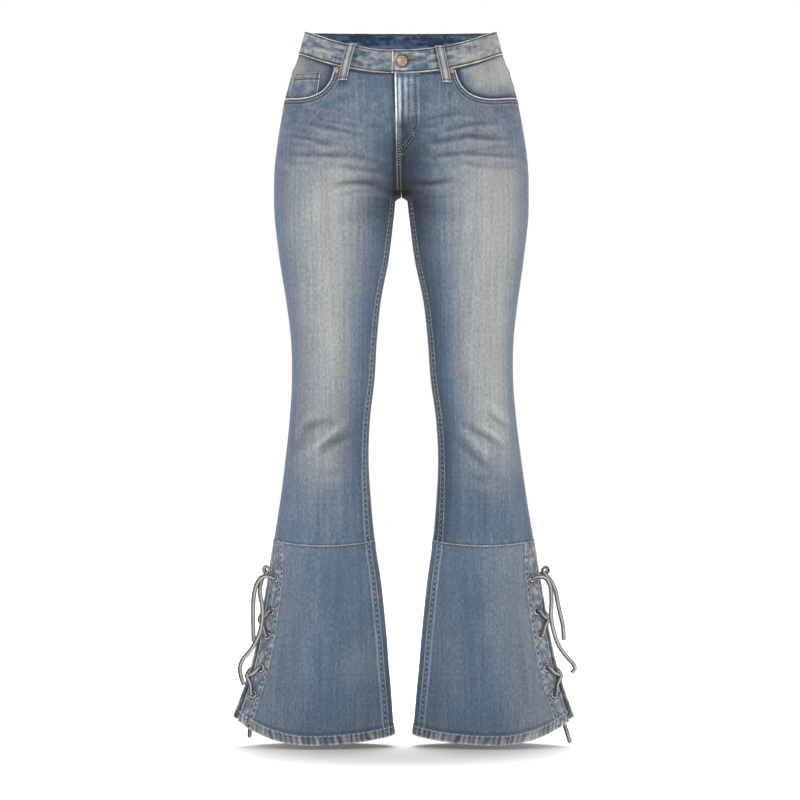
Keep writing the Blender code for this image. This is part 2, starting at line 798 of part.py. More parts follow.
def button_and_rivets():
    dome = turned_mesh(
        "button",
        ((0.0, 4.2), (5.2, 4.0), (BUTTON_RADIUS - 0.5, 3.3), (BUTTON_RADIUS, 2.2),
         (BUTTON_RADIUS - 0.6, 1.3), (4.4, 1.0), (4.4, 0.4), (0.0, 0.4)),
        False,
    )
    point, normal = at_x(*BUTTON_AT, True)
    turned("waist_button", dome, COPPER, 20, placed(point, normal))
    head = turned_mesh("rivet", ((0.0, 1.9), (2.2, 1.6), (4.2, 0.8), (4.2, 0.4), (0.0, 0.4)), False)
    for name, (x, z) in RIVETS.items():
        point, normal = at_x(x, z, True)
        turned(name, head, COPPER, 12, placed(point, normal))


# ---- laces -----------------------------------------------------------------------------------

# Free ends outside each leg's top eyelets, from the eyelet down: x, y, z
TAIL_FRONT_LEFT = (
    (-199, -23, -815), (-209, -22, -817), (-217, -18, -829), (-221, -15, -847),
    (-222, -14, -874), (-221.5, -14, -900), (-221, -14, -914),
)
TAIL_BACK_LEFT = (
    (-201, 23, -812), (-208, 18, -801), (-207, 12, -794), (-201, 8, -798), (-203, 4, -808),
    (-211, -2, -816), (-212, -12, -838), (-208, -22, -860), (-208, -26, -880), (-212, -25, -900),
    (-220, -23, -917), (-229, -18, -930), (-238, -13, -941), (-242, -10, -954),
    (-240, -10, -967), (-236, -13, -978),
)
TAIL_FRONT_RIGHT = (
    (206, -24, -816), (215, -23, -818), (222, -20, -830), (224, -19, -852), (223, -21, -872),
    (227, -23, -897), (235, -22, -919), (247, -20, -936), (257, -18, -947), (259, -16, -954),
    (254, -15, -960),
)
TAIL_BACK_RIGHT = (
    (208, 23, -812), (215, 18, -801), (214, 12, -794), (208, 8, -799), (211, 4, -808),
    (221, 0, -817), (230, -2, -836), (234, -4, -855), (238, -6, -874), (242, -7, -893),
    (243, -8, -912),
)
END_LEFT = ((-219, -5, -1008), (-226, -3, -1034), (-228, -3, -1058))
END_RIGHT = ((230, -4, -1008), (241, -1, -1030), (253, -2, -1066))
SHORT_END = 26.0


def gap_middle(side, t, out):
    """Point in the vent's gap at row t, out mm off its outer edge, or into the leg if negative."""
    edges = [flare_point(side, t, vent_turn(t, front))[0] for front in (True, False)]
    outer = max(abs(edge.x) for edge in edges)
    middle = (edges[0] + edges[1]) / 2
    return Vector((side * (outer + out), middle.y, middle.z))


def beside_edge(side, t, front, inset, out):
    turn = walk(side, t, vent_turn(t, front), inset, front)
    point, normal = flare_point(side, t, turn)
    return point + normal * out


def lacing_route(side, starts_front, over):
    """Points through the five eyelets, crossing the vent inside, outside, inside, outside."""
    front = starts_front
    points = []
    inward = -1
    for k, t in enumerate(EYELET_STEPS):
        middle, normal = eyelet_place(side, t, front)
        first, last = (4.5, -6.5) if inward < 0 else (-6.5, 4.5)
        points += [middle + normal * first, middle - normal * 1.2, middle + normal * last]
        if k == len(EYELET_STEPS) - 1:
            break
        after = EYELET_STEPS[k + 1]
        half = (t + after) / 2
        if inward < 0:
            points.append(gap_middle(side, half, -13.0 if over else -23.0))
        else:
            points.append(beside_edge(side, t + (after - t) * 0.28, front, 4.0, 3.9))
            points.append(gap_middle(side, half, 10.8 if over else 5.0))
            points.append(beside_edge(side, t + (after - t) * 0.72, not front, 4.0, 3.9))
        front = not front
        inward = -inward
    return points


def through(points):
    """Points every LACE_STEP or so along a smooth curve through the given ones."""
    ends = [points[0] * 2 - points[1]] + points + [points[-1] * 2 - points[-2]]
    curve = [points[0]]
    for a, b, c, d in zip(ends, ends[1:], ends[2:], ends[3:]):
        length = (c - b).length
        # centripetal spacing keeps the curve free of loops between uneven points
        ta, tb, tc = (max(0.1, (q - p).length) ** 0.5 for p, q in ((a, b), (b, c), (c, d)))
        m1 = (b - a) / ta - (c - a) / (ta + tb) + (c - b) / tb
        m2 = (c - b) / tb - (d - b) / (tb + tc) + (d - c) / tc
        m1, m2 = m1 * tb, m2 * tb
        count = max(1, round(length / LACE_STEP))
        for k in range(1, count + 1):
            t = k / count
            curve.append(
                b * (1 + 2 * t) * (1 - t) ** 2
                + m1 * t * (1 - t) ** 2
                + c * t * t * (3 - 2 * t)
                + m2 * t * t * (t - 1)
            )
    return curve


def lace(name, points):
    curve = bpy.data.curves.new(name, "CURVE")
    curve.dimensions = "3D"
    curve.bevel_depth = LACE_DIAMETER / 2 * MM
    curve.bevel_resolution = 2
    curve.use_fill_caps = True
    line = curve.splines.new("POLY")
    line.points.add(len(points) - 1)
    for target, point in zip(line.points, points):
        target.co = (*(point * MM), 1.0)
    made = bpy.data.objects.new(name, curve)
    curve.materials.append(material(*LACE))
    bpy.data.collections["flared_jeans"].objects.link(made)
    return made


def laces():
    tails = {
        "left": (TAIL_FRONT_LEFT, TAIL_BACK_LEFT, END_LEFT),
        "right": (TAIL_FRONT_RIGHT, TAIL_BACK_RIGHT, END_RIGHT),
    }
    for leg, side in SIDES.items():
        tail_front, tail_back, end = tails[leg]
        held = lacing_route(side, True, True)
        route = [Vector(p) for p in reversed(tail_front)] + held + [Vector(p) for p in end]
        lace(f"lace_front_{leg}", through(route))
        held = lacing_route(side, False, False)
        last = held[-1]
        short = [last + Vector((side * -3.0, 2.0, -SHORT_END / 2)),
                 last + Vector((side * -5.0, 4.0, -SHORT_END))]
        route = [Vector(p) for p in reversed(tail_back)] + held + short
        lace(f"lace_back_{leg}", through(route))


def main():
    for old in list(bpy.data.objects):
        bpy.data.objects.remove(old, do_unlink=True)
    for name in ("flared_jeans", "cutters"):
        collection = bpy.data.collections.new(name)
        bpy.context.scene.collection.children.link(collection)
    waistband()
    fly_placket()
    fly_zip()
    coin_pocket()
    for leg, side in SIDES.items():
        front_panel(f"front_panel_{leg}", side)
        back_panel(f"back_panel_{leg}", side)
        yoke(f"yoke_{leg}", side)
        pocket_facing(f"pocket_facing_{leg}", side)
        back_pocket(f"back_pocket_{leg}", side)
        for face, front in (("front", True), ("back", False)):
            flare_panel(f"flare_{face}_{leg}", side, front)
            vent_band(f"vent_band_{face}_{leg}", side, front)
    for spec in BELT_LOOPS:
        belt_loop(spec)
    eyelets()
    button_and_rivets()
    laces()


main()
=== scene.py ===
import math
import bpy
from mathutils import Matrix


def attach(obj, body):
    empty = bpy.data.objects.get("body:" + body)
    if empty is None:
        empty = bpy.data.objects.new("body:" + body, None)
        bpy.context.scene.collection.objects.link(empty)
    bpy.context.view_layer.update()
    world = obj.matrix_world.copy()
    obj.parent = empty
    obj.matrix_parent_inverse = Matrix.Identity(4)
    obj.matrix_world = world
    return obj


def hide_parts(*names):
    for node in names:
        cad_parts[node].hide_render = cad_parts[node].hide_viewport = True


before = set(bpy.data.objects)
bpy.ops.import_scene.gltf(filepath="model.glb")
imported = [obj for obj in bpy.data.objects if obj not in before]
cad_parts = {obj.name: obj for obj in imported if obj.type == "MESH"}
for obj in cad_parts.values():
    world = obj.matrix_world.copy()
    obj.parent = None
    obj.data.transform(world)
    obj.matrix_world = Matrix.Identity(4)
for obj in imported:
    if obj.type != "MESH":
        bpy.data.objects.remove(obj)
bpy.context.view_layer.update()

from types import SimpleNamespace

import bpy
import numpy as np
from mathutils import Matrix, Vector
from mathutils.bvhtree import BVHTree
from mathutils.kdtree import KDTree

mm = 0.001  # the jeans are worked out in millimetres, and each mesh is made in metres
legs = {"Left": -1, "Right": 1}  # as the wearer faces you: left is -X


def stage(text):
    print("jeans:", text, flush=True)


def deselect():
    bpy.ops.object.select_all(action="DESELECT")


def editAll(*steps):
    # each operator, with its settings, on the whole of the active mesh
    bpy.ops.object.mode_set(mode="EDIT")
    for operator, settings in steps:
        bpy.ops.mesh.select_all(action="SELECT")
        operator(**settings)
    bpy.ops.object.mode_set(mode="OBJECT")


# studio

studio = {
    "cameraAt": (-0.00225, -4.75, -0.552), "lens": 142.5, "sensor": 36.0, "seesTo": 60.0,
    "room": 0.47,  # light from all round
    "floor": -1.0715, "floorSize": 14.0, "floorColour": (0.80, 0.80, 0.80), "floorRoughness": 0.9,
    "floorGlow": (1.074, 1.15, 0.10, 0.80),  # from and to a distance off the origin, near and far
    "lamps": (  # place, aim, size, watts
        ((-1.7, -3.2, 1.7), (0.0, 0.0, -0.5), 2.2, 37.0),
        ((2.1, -3.0, 0.6), (0.0, 0.0, -0.55), 2.2, 13.0),
        ((0.0, 2.6, 1.6), (0.0, 0.0, -0.4), 2.4, 9.0),
        ((0.0, 0.85, 1.2), (0.0, 0.10, -1.05), 1.7, 52.0),
    ),
}


def lightRoom(scene):
    # white for the camera, and a softer light on the jeans
    scene.world = bpy.data.worlds.new("paleRoom")
    scene.world.use_nodes = True
    tree = scene.world.node_tree
    tree.nodes.clear()
    room, plain = (
        add(tree, "Background", {"Color": (1.0, 1.0, 1.0, 1.0), "Strength": strength})[0]
        for strength in (studio["room"], 1.0))
    seen = add(tree, "LightPath", {})["Is Camera Ray"]
    add(tree, "OutputWorld", {"Surface": add(tree, "MixShader", {0: seen, 1: room, 2: plain})[0]})
    for place, aim, size, watts in studio["lamps"]:
        facing = (Vector(aim) - Vector(place)).to_track_quat("-Z", "Y").to_euler()
        bpy.ops.object.light_add(type="AREA", location=place, rotation=facing)
        lamp = bpy.context.object.data
        lamp.shape = "DISK"
        lamp.size = size
        lamp.energy = watts


def addCamera(scene):
    bpy.ops.object.camera_add(location=studio["cameraAt"], rotation=(math.pi / 2, 0.0, 0.0))
    scene.camera = bpy.context.object
    scene.camera.data.lens = studio["lens"]
    scene.camera.data.sensor_width = studio["sensor"]
    scene.camera.data.clip_end = studio["seesTo"]


def addFloor():
    # pale, and glowing a little more away from the jeans, so that only a soft shadow shows
    deselect()
    bpy.ops.mesh.primitive_plane_add(size=studio["floorSize"], location=(0.0, 0.0, studio["floor"]))
    floor = bpy.context.object
    floor.name = "floor"
    bpy.ops.object.transform_apply(location=True, rotation=True, scale=True)
    paint, tree, shader = newMaterial("paleFloor")
    away = add(tree, "VectorMath", {0: space(tree)}, operation="LENGTH")["Value"]
    values = dict(enumerate((away, *studio["floorGlow"])))
    put(tree, shader, {
        "Base Color": (*studio["floorColour"], 1.0), "Roughness": studio["floorRoughness"],
        "Emission Color": (1.0, 1.0, 1.0, 1.0),
        "Emission Strength": add(tree, "MapRange", values, interpolation_type="SMOOTHSTEP")[0],
    })
    floor.data.materials.append(paint)


# shape of the legs and seat: the same outline as the CAD solids

legOutline = np.array([  # height, outer, axis, inner, front, back, lens, sway
    (12, 140, 0, -300, 88, 92, 0.95, -1.0), (0, 143, 0, -300, 91, 95, 0.95, -1.0),
    (-18, 148, 4, -298, 94, 99, 0.95, -1.0), (-42, 155, 12, -290, 98, 105, 0.95, -1.0),
    (-72, 166, 26, -265, 102, 112, 0.95, -0.8), (-102, 174, 42, -230, 105, 119, 0.95, -0.6),
    (-132, 180, 55, -180, 106, 124, 0.95, -0.4), (-162, 185, 66.5, -125, 105, 127, 0.95, -0.3),
    (-192, 189, 77, -72, 103, 126, 0.95, -0.2), (-212, 190.5, 83.5, -38, 101, 122, 0.95, -0.2),
    (-228, 191, 88, -15, 99.5, 117.5, 0.95, -0.2), (-236, 191, 90.2, -5.5, 98.7, 115, 0.95, -0.2),
    (-241, 191, 91.4, 0, 98.1, 113.4, 0.95, -0.2), (-248.5, 191, 93.2, 0.8, 97.1, 111.1, 0.95, -0.2),
    (-252.5, 191, 94.1, 8.6, 96.8, 109.9, 0.95, -0.2), (-258, 191, 95.2, 9.3, 96.1, 108.4, 0.95, -0.2),
    (-282, 190, 98.5, 12, 93, 102, 0.95, 0.0),
    (-342, 183, 101.5, 19.5, 84, 90, 0.95, 0.2), (-402, 174, 103, 31.5, 76, 80, 0.95, 0.8),
    (-462, 167, 103, 38, 69, 72, 0.95, 1.2), (-522, 166, 104, 42, 65, 66, 0.95, 1.6),
    (-582, 170, 110, 49.5, 61, 68, 0.95, 2.2), (-642, 177, 115, 52, 60, 70, 1.00, 2.8),
    (-702, 185, 117, 49, 60, 68, 1.15, 3.2), (-762, 195, 120, 43.5, 56, 63, 1.60, 3.5),
    (-825, 207, 122, 34.5, 50, 55, 2.25, 3.9), (-906, 221, 125, 26, 48, 52, 2.40, 3.9),
    (-950, 231, 128, 22.5, 49, 53, 2.40, 3.7), (-987, 243, 131, 19, 50, 54, 2.35, 3.5),
    (-1026, 257, 134.5, 16, 51, 55, 2.30, 3.2), (-1060, 268, 138, 13, 52, 55, 2.30, 3.0),
], float)

largeFolds = (  # side, turn and height from, turn and height to, depth, half width
    (-1, 70, -221, 140, -236, 3.0, 13), (1, 85, -220, 142, -233, 3.0, 13),
    (-1, 45, -597, 108, -580, 3.2, 12), (-1, 66, -630, 138, -588, 3.4, 13),
    (1, 50, -620, 116, -578, 3.2, 11), (1, 68, -658, 132, -598, 3.4, 12),
    (-1, 222, -262, 300, -250, 3.2, 15), (1, 220, -258, 296, -253, 3.2, 15),
    (-1, 226, -568, 312, -590, 3.6, 14), (1, 230, -588, 316, -570, 3.6, 14),
    (-1, 238, -622, 300, -606, 2.6, 13), (1, 228, -610, 292, -624, 2.6, 13),
)

cut = {  # the main lines, heights in mm below the waist, seams in degrees round the leg
    "bandHeight": 35.0, "frontDrop": 37.0, "backRise": 8.5, "crotch": -241.0,
    "crossSeam": -761.0, "crossDip": 6.0, "hem": -1065.0, "hemSideRise": 39.0,
    "hemInsideRise": 12.0, "hemDepth": 15.0, "sideSeam": 4.0, "inseam": 168.0,
    "inseamRun": 55.0, "round": 0.95, "cloth": 1.4, "gap": 0.15,
}


def held(x):
    return np.clip(x, 0.0, 1.0)


def soft(x):
    x = held(x)
    return x * x * (3.0 - 2.0 * x)


def hump(x, middle, width):
    return np.exp(-(((x - middle) / width) ** 2))


def sectionAt(z):
    table = legOutline
    last = len(table) - 1
    z = np.clip(np.asarray(z, float), table[last, 0], table[0, 0])
    k = np.clip(np.searchsorted(-table[:, 0], -z) - 1, 0, last - 1)
    span = (table[k + 1, 0] - table[k, 0])[..., None]
    t = (z - table[k, 0])[..., None] / span

    def slope(i):
        a, b = np.maximum(i - 1, 0), np.minimum(i + 1, last)
        return (table[b, 1:] - table[a, 1:]) / (table[b, 0] - table[a, 0])[..., None]

    values = (
        table[k, 1:] * (1 + 2 * t) * (1 - t) ** 2 + slope(k) * span * t * (1 - t) ** 2
        + table[k + 1, 1:] * t * t * (3 - 2 * t) + slope(k + 1) * span * t * t * (t - 1)
    )
    return np.moveaxis(values, -1, 0)


def foldDepth(side, z, turn):
    total = np.zeros(np.shape(turn))
    for which, turnFrom, zFrom, turnTo, zTo, depth, halfWidth in largeFolds:
        along = held((turn % 360.0 - turnFrom) / (turnTo - turnFrom))
        across = held(np.abs(z - (zFrom + (zTo - zFrom) * along)) / halfWidth)
        total += (side == which) * depth * np.sin(math.pi * along) * (1.0 - across**2) ** 2
    return total


def legPoint(side, z, turn):
    side, z, turn = np.broadcast_arrays(side, np.asarray(z, float), np.asarray(turn, float))
    outer, axis, inner, front, back, lens, sway = sectionAt(z)
    c, n = np.cos(np.radians(turn)), np.sin(np.radians(turn))
    x = axis + np.where(c > 0, outer - axis, axis - inner) * c
    depth = np.abs(n) ** np.where(c > 0, lens, cut["round"])
    y = np.where(n > 0, -front, back) * depth
    fold = foldDepth(side, z, turn)
    return np.stack([side * (x - fold * c) + sway, y + fold * n, z], -1)


def legNormal(side, z, turn):
    around = legPoint(side, z, turn + 1.5) - legPoint(side, z, turn - 1.5)
    along = legPoint(side, z - 2.0, turn) - legPoint(side, z + 2.0, turn)
    out = np.cross(around, along) * np.asarray(side)[..., None]
    return out / np.linalg.norm(out, axis=-1, keepdims=True)


def turnAt(z, x, front):
    outer, axis, inner = sectionAt(z)[:3]
    half = np.where(x > axis, outer - axis, axis - inner)
    turn = np.degrees(np.arccos(np.clip((x - axis) / half, -1.0, 1.0)))
    return np.where(front, turn, 360.0 - turn)


def middleTurn(z, front):
    below = held((cut["crotch"] - z) / cut["inseamRun"])
    low = 180.0 - (180.0 - cut["inseam"]) * below**0.7
    return np.where(z >= cut["crotch"], turnAt(z, 0.0, front), low)


def waistRise(turn):
    n = np.sin(np.radians(turn))
    return np.where(n > 0, -cut["frontDrop"] * n, -cut["backRise"]) * n


def upperHeight(nominal, turn):
    high = held((nominal + 200.0) / (200.0 - cut["bandHeight"]))
    low = held((-700.0 - nominal) / (-700.0 - cut["crossSeam"]))
    dip = cut["crossDip"] * np.sin(np.radians(turn)) ** 2
    return nominal + waistRise(turn) * high - dip * low


def flareHeight(t, turn):
    c, n = np.cos(np.radians(turn)), np.sin(np.radians(turn))
    top = cut["crossSeam"] - cut["crossDip"] * n * n
    low = cut["hem"] + np.where(c > 0, cut["hemSideRise"], cut["hemInsideRise"]) * c * c
    return top + (low - top) * t


def settle(share, front, heightAt, limitAt):
    # turn and height of points at a share of the way from the side seam to a limit
    start = cut["sideSeam"] + (0.0 if front else 360.0)
    turn = start
    for _ in range(6):
        turn = start + (limitAt(heightAt(turn)) - start) * share
    return turn, heightAt(turn)


def atX(x, z, out=0.0):
    # point and normal of the garment's front, x mm from the middle
    side = np.where(np.asarray(x) >= 0, 1, -1)
    turn = turnAt(z, np.abs(x), True)
    normal = legNormal(side, z, turn)
    return legPoint(side, z, turn) + normal * out, normal


def onFront(places, out=3.0):
    # points a little off the front, for rows of x and z
    places = np.asarray(places, float)
    return atX(places[..., 0], places[..., 1], out)[0]


def readOff(value, table):
    # the second column of a table whose first one falls
    return np.interp(-value, [-a for a, _ in table], [b for _, b in table])


def lengthAlong(points, axis=0):
    # length travelled over a line or grid of points
    steps = np.linalg.norm(np.diff(points, axis=axis), axis=-1)
    first = np.zeros_like(np.take(steps, [0], axis=axis))
    return np.concatenate([first, np.cumsum(steps, axis=axis)], axis=axis)


# uneven values, the same on every run


def uneven(along, cell, seed):
    values = np.random.default_rng(seed).uniform(-1.0, 1.0, 1024)
    q = np.asarray(along) / cell
    k = np.floor(q).astype(int)
    t = soft(q - k)
    return values[k % 1024] * (1 - t) + values[(k + 1) % 1024] * t


def blotch(a, b, cellA, cellB, seed):
    values = np.random.default_rng(seed).uniform(-1.0, 1.0, (256, 256))
    qa, qb = np.asarray(a) / cellA, np.asarray(b) / cellB
    ka, kb = np.floor(qa).astype(int), np.floor(qb).astype(int)
    ta, tb = soft(qa - ka), soft(qb - kb)
    low = values[ka % 256, kb % 256] * (1 - ta) + values[(ka + 1) % 256, kb % 256] * ta
    high = values[ka % 256, (kb + 1) % 256] * (1 - ta) + values[(ka + 1) % 256, (kb + 1) % 256] * ta
    return low * (1 - tb) + high * tb


# materials


def newMaterial(name):
    made = bpy.data.materials.new(name)
    made.use_nodes = True
    return made, made.node_tree, made.node_tree.nodes["Principled BSDF"]


def put(tree, node, values):
    # each input is linked to an output or set to a value
    for name, value in values.items():
        if isinstance(value, bpy.types.NodeSocket):
            tree.links.new(value, node.inputs[name])
        else:
            node.inputs[name].default_value = value


def add(tree, kind, values, **settings):
    # makes a node and gives its outputs
    made = tree.nodes.new("ShaderNode" + kind)
    for name, value in settings.items():
        setattr(made, name, value)
    put(tree, made, values)
    return made.outputs


def reckon(tree, operation, a, b=0.0, clamp=False):
    return add(tree, "Math", {0: a, 1: b}, operation=operation, use_clamp=clamp)[0]


def plus(tree, a, b, clamp=False):
    return reckon(tree, "ADD", a, b, clamp)


def times(tree, a, b):
    return reckon(tree, "MULTIPLY", a, b)


def tuned(tree, value, much, base=0.0, clamp=False):
    # value times much, plus base
    return plus(tree, times(tree, value, much), base, clamp)


def blend(tree, factor, a, b):
    a, b = ((*colour, 1.0) if isinstance(colour, tuple) else colour for colour in (a, b))
    return add(tree, "Mix", {0: factor, 6: a, 7: b}, data_type="RGBA")[2]


def scaled(tree, colour, factor):
    return add(tree, "VectorMath", {0: colour, "Scale": factor}, operation="SCALE")[0]


def spread(tree, where, size, turned=0.0):
    size = size if isinstance(size, tuple) else (size, size, size)
    return add(tree, "Mapping", {"Vector": where, "Scale": size, "Rotation": (0.0, 0.0, turned)})[0]


def grain(tree, where, size, detail=2.0, rough=0.5):
    # noise round zero
    values = {"Vector": spread(tree, where, size), "Scale": 1.0, "Detail": detail, "Roughness": rough}
    return reckon(tree, "SUBTRACT", add(tree, "TexNoise", values)["Fac"], 0.5)


def wave(tree, where, degrees, values):
    # stripes across a direction
    where = spread(tree, where, 1.0, math.radians(degrees))
    return add(tree, "TexWave", {"Vector": where, **values}, bands_direction="X")["Fac"]


def attribute(tree, name):
    return add(tree, "Attribute", {}, attribute_name=name)["Fac"]


def clothWays(tree):
    # the cloth's own lengths across and down, in metres
    return add(tree, "UVMap", {}, uv_map="cloth")[0]


def space(tree):
    return add(tree, "TexCoord", {})["Object"]


def finishLook(tree, shader, height, strength, distance, values):
    bump = add(tree, "Bump", {"Height": height, "Strength": strength, "Distance": distance})[0]
    put(tree, shader, {"Normal": bump, **values})


denimLook = {
    "deep": (0.100, 0.147, 0.214), "faded": (0.347, 0.355, 0.355), "worn": (0.68, 0.69, 0.70),
    "slub": 0.38, "streak": 0.12, "mottle": 0.22, "cloud": 0.50, "grit": 0.78, "twill": 0.20,
    "bump": 0.40, "roughness": 0.87,
}
liningLook = {
    "deep": (0.150, 0.190, 0.240), "faded": (0.34, 0.37, 0.39), "worn": (0.50, 0.51, 0.50),
    "slub": 0.22, "streak": 0.14, "mottle": 0.10, "cloud": 0.12, "grit": 0.25, "twill": 0.20,
    "bump": 0.30, "roughness": 0.9,
}
# the waistband's inside: dark denim, made darker still as painted shade
shadedBandLook = dict(
    liningLook, deep=(0.052, 0.090, 0.168), faded=(0.19, 0.27, 0.38), worn=(0.30, 0.31, 0.31),
    slub=0.6, streak=0.5, cloud=0.5, grit=0.9,
)
yarn = {  # how fine each unevenness is: across and down the cloth, or the same every way
    "slub": (760.0, 75.0, 1.0), "streak": (190.0, 9.0, 1.0), "cloud": (330.0, 190.0, 1.0),
    "mottle": 26.0, "fine": 260.0, "relief": 0.0004,
    "rib": 262.0, "ribTurn": 28.0,  # right-hand twill, 1.2 mm from rib to rib
}


def denim(name, look):
    made, tree, shader = newMaterial(name)
    weave, solid = clothWays(tree), space(tree)
    slub = grain(tree, weave, yarn["slub"], 3.0, 0.6)  # thick and thin warp threads
    streak = grain(tree, weave, yarn["streak"], 3.0)
    cloud = grain(tree, weave, yarn["cloud"], 3.0, 0.65)
    mottle = grain(tree, solid, yarn["mottle"], 4.0, 0.6)
    fine = grain(tree, solid, yarn["fine"], 2.0)
    fade = attribute(tree, "fade")
    for value, kind in ((slub, "slub"), (streak, "streak"), (mottle, "mottle"), (cloud, "cloud")):
        fade = plus(tree, fade, times(tree, value, look[kind]))
    colour = blend(tree, plus(tree, fade, 0.0, clamp=True), look["deep"], look["faded"])
    wear = times(tree, attribute(tree, "wear"), tuned(tree, fine, 1.6, 1.0))
    colour = blend(tree, plus(tree, wear, 0.0, clamp=True), colour, look["worn"])
    ribs = {"Scale": yarn["rib"], "Distortion": 0.6, "Detail": 1.0, "Detail Scale": 1.0}
    rib = reckon(tree, "SUBTRACT", wave(tree, weave, yarn["ribTurn"], ribs), 0.5)
    shade = tuned(tree, rib, look["twill"], 1.0)
    for value, much in ((slub, 0.36), (cloud, look["grit"]), (streak, look["grit"] * 0.7)):
        shade = plus(tree, shade, times(tree, value, much))
    # times the painted shade and highlight carried on the cloth's points
    shade = times(tree, shade, attribute(tree, "tone"))
    height = plus(tree, times(tree, rib, 0.6), slub)
    finishLook(tree, shader, height, look["bump"], yarn["relief"], {
        "Base Color": scaled(tree, colour, shade), "Roughness": tuned(tree, fine, 0.1, look["roughness"]),
        "Specular IOR Level": 0.22, "Sheen Weight": 0.10, "Sheen Roughness": 0.5,
    })
    return made


def thread(name, colour, paler):
    made, tree, shader = newMaterial(name)
    solid = space(tree)
    patches = tuned(tree, grain(tree, solid, 90.0, 3.0), 1.6, 0.5, clamp=True)
    twist = grain(tree, solid, 2200.0, 1.0)
    tint = blend(tree, patches, colour, paler)
    finishLook(tree, shader, twist, 0.3, 0.0001, {
        "Base Color": scaled(tree, tint, tuned(tree, twist, 0.5, 1.0)),
        "Roughness": tuned(tree, twist, 0.2, 0.62), "Specular IOR Level": 0.3,
    })
    return made


def metal(name, bright, dark, roughness):
    made, tree, shader = newMaterial(name)
    solid = space(tree)
    cloudy = tuned(tree, grain(tree, solid, 420.0, 4.0, 0.6), 2.4, 0.42, clamp=True)
    scratch = grain(tree, solid, (3000.0, 400.0, 900.0), 2.0)
    worn = tuned(tree, cloudy, -0.16, roughness + 0.12)
    finishLook(tree, shader, scratch, 0.25, 0.0001, {
        "Base Color": blend(tree, cloudy, dark, bright), "Metallic": 0.92,
        "Roughness": plus(tree, worn, times(tree, scratch, 0.2)),
    })
    return made


# the cord runs from a near-black painted shade on its sides to a pale painted highlight
laceLook = {"dark": (0.018, 0.018, 0.020), "pale": (0.74, 0.74, 0.74), "plait": 0.0021, "slant": 52.0}


def plaited(name):
    made, tree, shader = newMaterial(name)
    cloth = clothWays(tree)
    strands = {"Scale": 2 * math.pi / (20 * laceLook["plait"]), "Distortion": 0.3}
    crossing = (wave(tree, cloth, sign * laceLook["slant"], strands) for sign in (1, -1))
    weave = reckon(tree, "MAXIMUM", *crossing)
    fuzz = grain(tree, cloth, (900.0, 260.0, 1.0), 3.0)
    long = grain(tree, cloth, (120.0, 30.0, 1.0), 3.0)
    # the painted highlight stripe on the cord's points, with the yarn's own unevenness
    much = plus(tree, attribute(tree, "fade"), times(tree, fuzz, 0.3))
    much = plus(tree, much, times(tree, long, 0.4))
    much = plus(tree, much, times(tree, weave, 0.10), clamp=True)
    finishLook(tree, shader, weave, 0.5, 0.0004, {
        "Base Color": blend(tree, much, laceLook["dark"], laceLook["pale"]),
        "Roughness": tuned(tree, fuzz, 0.1, 0.78), "Specular IOR Level": 0.25,
    })
    return made


stage("camera, light and materials")
bpy.context.scene.view_settings.view_transform = "Standard"
lightRoom(bpy.context.scene)
addCamera(bpy.context.scene)
addFloor()
outerDenim = denim("washedDenim", denimLook)
innerDenim = denim("denimReverse", liningLook)
shadedBandLining = denim("shadedBandLining", shadedBandLook)
tanThread = thread("tanThread", (0.30, 0.24, 0.17), (0.46, 0.42, 0.36))
blueThread = thread("greyBlueThread", (0.20, 0.23, 0.27), (0.46, 0.49, 0.52))
hemThread = thread("paleHemThread", (0.40, 0.44, 0.50), (0.66, 0.68, 0.72))
# near-black marks, painted shade in needle holes and stitched channels
shadeMarkPaint = thread("needleShade", (0.020, 0.021, 0.026), (0.040, 0.042, 0.050))
rustThread = thread("rustThread", (0.25, 0.165, 0.11), (0.42, 0.33, 0.25))
copper = metal("agedCopper", (0.66, 0.53, 0.44), (0.26, 0.18, 0.13), 0.36)
oldSilver = metal("oldSilver", (0.78, 0.76, 0.72), (0.05, 0.042, 0.035), 0.28)
zipBrass = metal("zipBrass", (0.60, 0.50, 0.32), (0.24, 0.18, 0.10), 0.34)
laceCord = plaited("greyLace")


# laces: the route and the free ends are those of the CAD tubes

lacing = {
    "steps": (0.203, 0.38, 0.513, 0.69, 0.833), "bandWidth": 28.0, "inset": 13.0, "flat": 6.5,
    "reach": 0.03, "wide": 6.4, "thick": 2.9, "ventTop": 0.171, "ventHalf": 1.0,
    "above": 4.5, "inHole": -1.2, "behind": -6.5,  # heights over the cloth at an eyelet
    "overOut": 1.8, "underOut": -1.0, "overIn": 13.0, "underIn": 23.0, "beside": 4.0,
    "frontOpen": (13.0, 6.0), "backOpen": (14.0, -3.0), "shortEnd": 26.0, "step": 3.0,
    "tails": {
        ("Left", "front"): (
            (-199, -23, -815), (-209, -22, -817), (-217, -18, -829), (-221, -15, -847),
            (-222, -14, -874), (-221.5, -14, -900), (-221, -14, -914)),
        ("Left", "back"): (
            (-201, 22, -814), (-204.5, 17, -811.5), (-207, 13, -806.5), (-203, 10, -802),
            (-198.8, 7, -806.5), (-201.5, 3, -811.5), (-208, -2, -818), (-212, -12, -838), (-208, -22, -860),
            (-208, -26, -880), (-212, -25, -900), (-220, -23, -917), (-229, -18, -930),
            (-238, -13, -941), (-242, -10, -954), (-240, -10, -967), (-236, -13, -978)),
        ("Right", "front"): (
            (206, -24, -816), (215, -23, -818), (222, -20, -830), (224, -19, -852),
            (223, -21, -872), (227, -23, -897), (235, -22, -919), (247, -20, -936),
            (257, -18, -947), (259, -16, -954), (254, -15, -960)),
        ("Right", "back"): (
            (208, 22, -814), (215, 17, -813.5), (220.5, 13, -808.5), (216.5, 10, -803), (211.6, 7, -807.5),
            (214.5, 3, -813.5), (221, -1, -819), (230, -2, -836), (234, -4, -855), (238, -6, -874),
            (242, -7, -893), (243, -8, -912)),
        ("Left", "low"): ((-219, -5, -1008), (-226, -3, -1034), (-228, -3, -1058)),
        ("Right", "low"): ((230, -4, -1008), (241, -1, -1030), (253, -2, -1066)),
    },
}


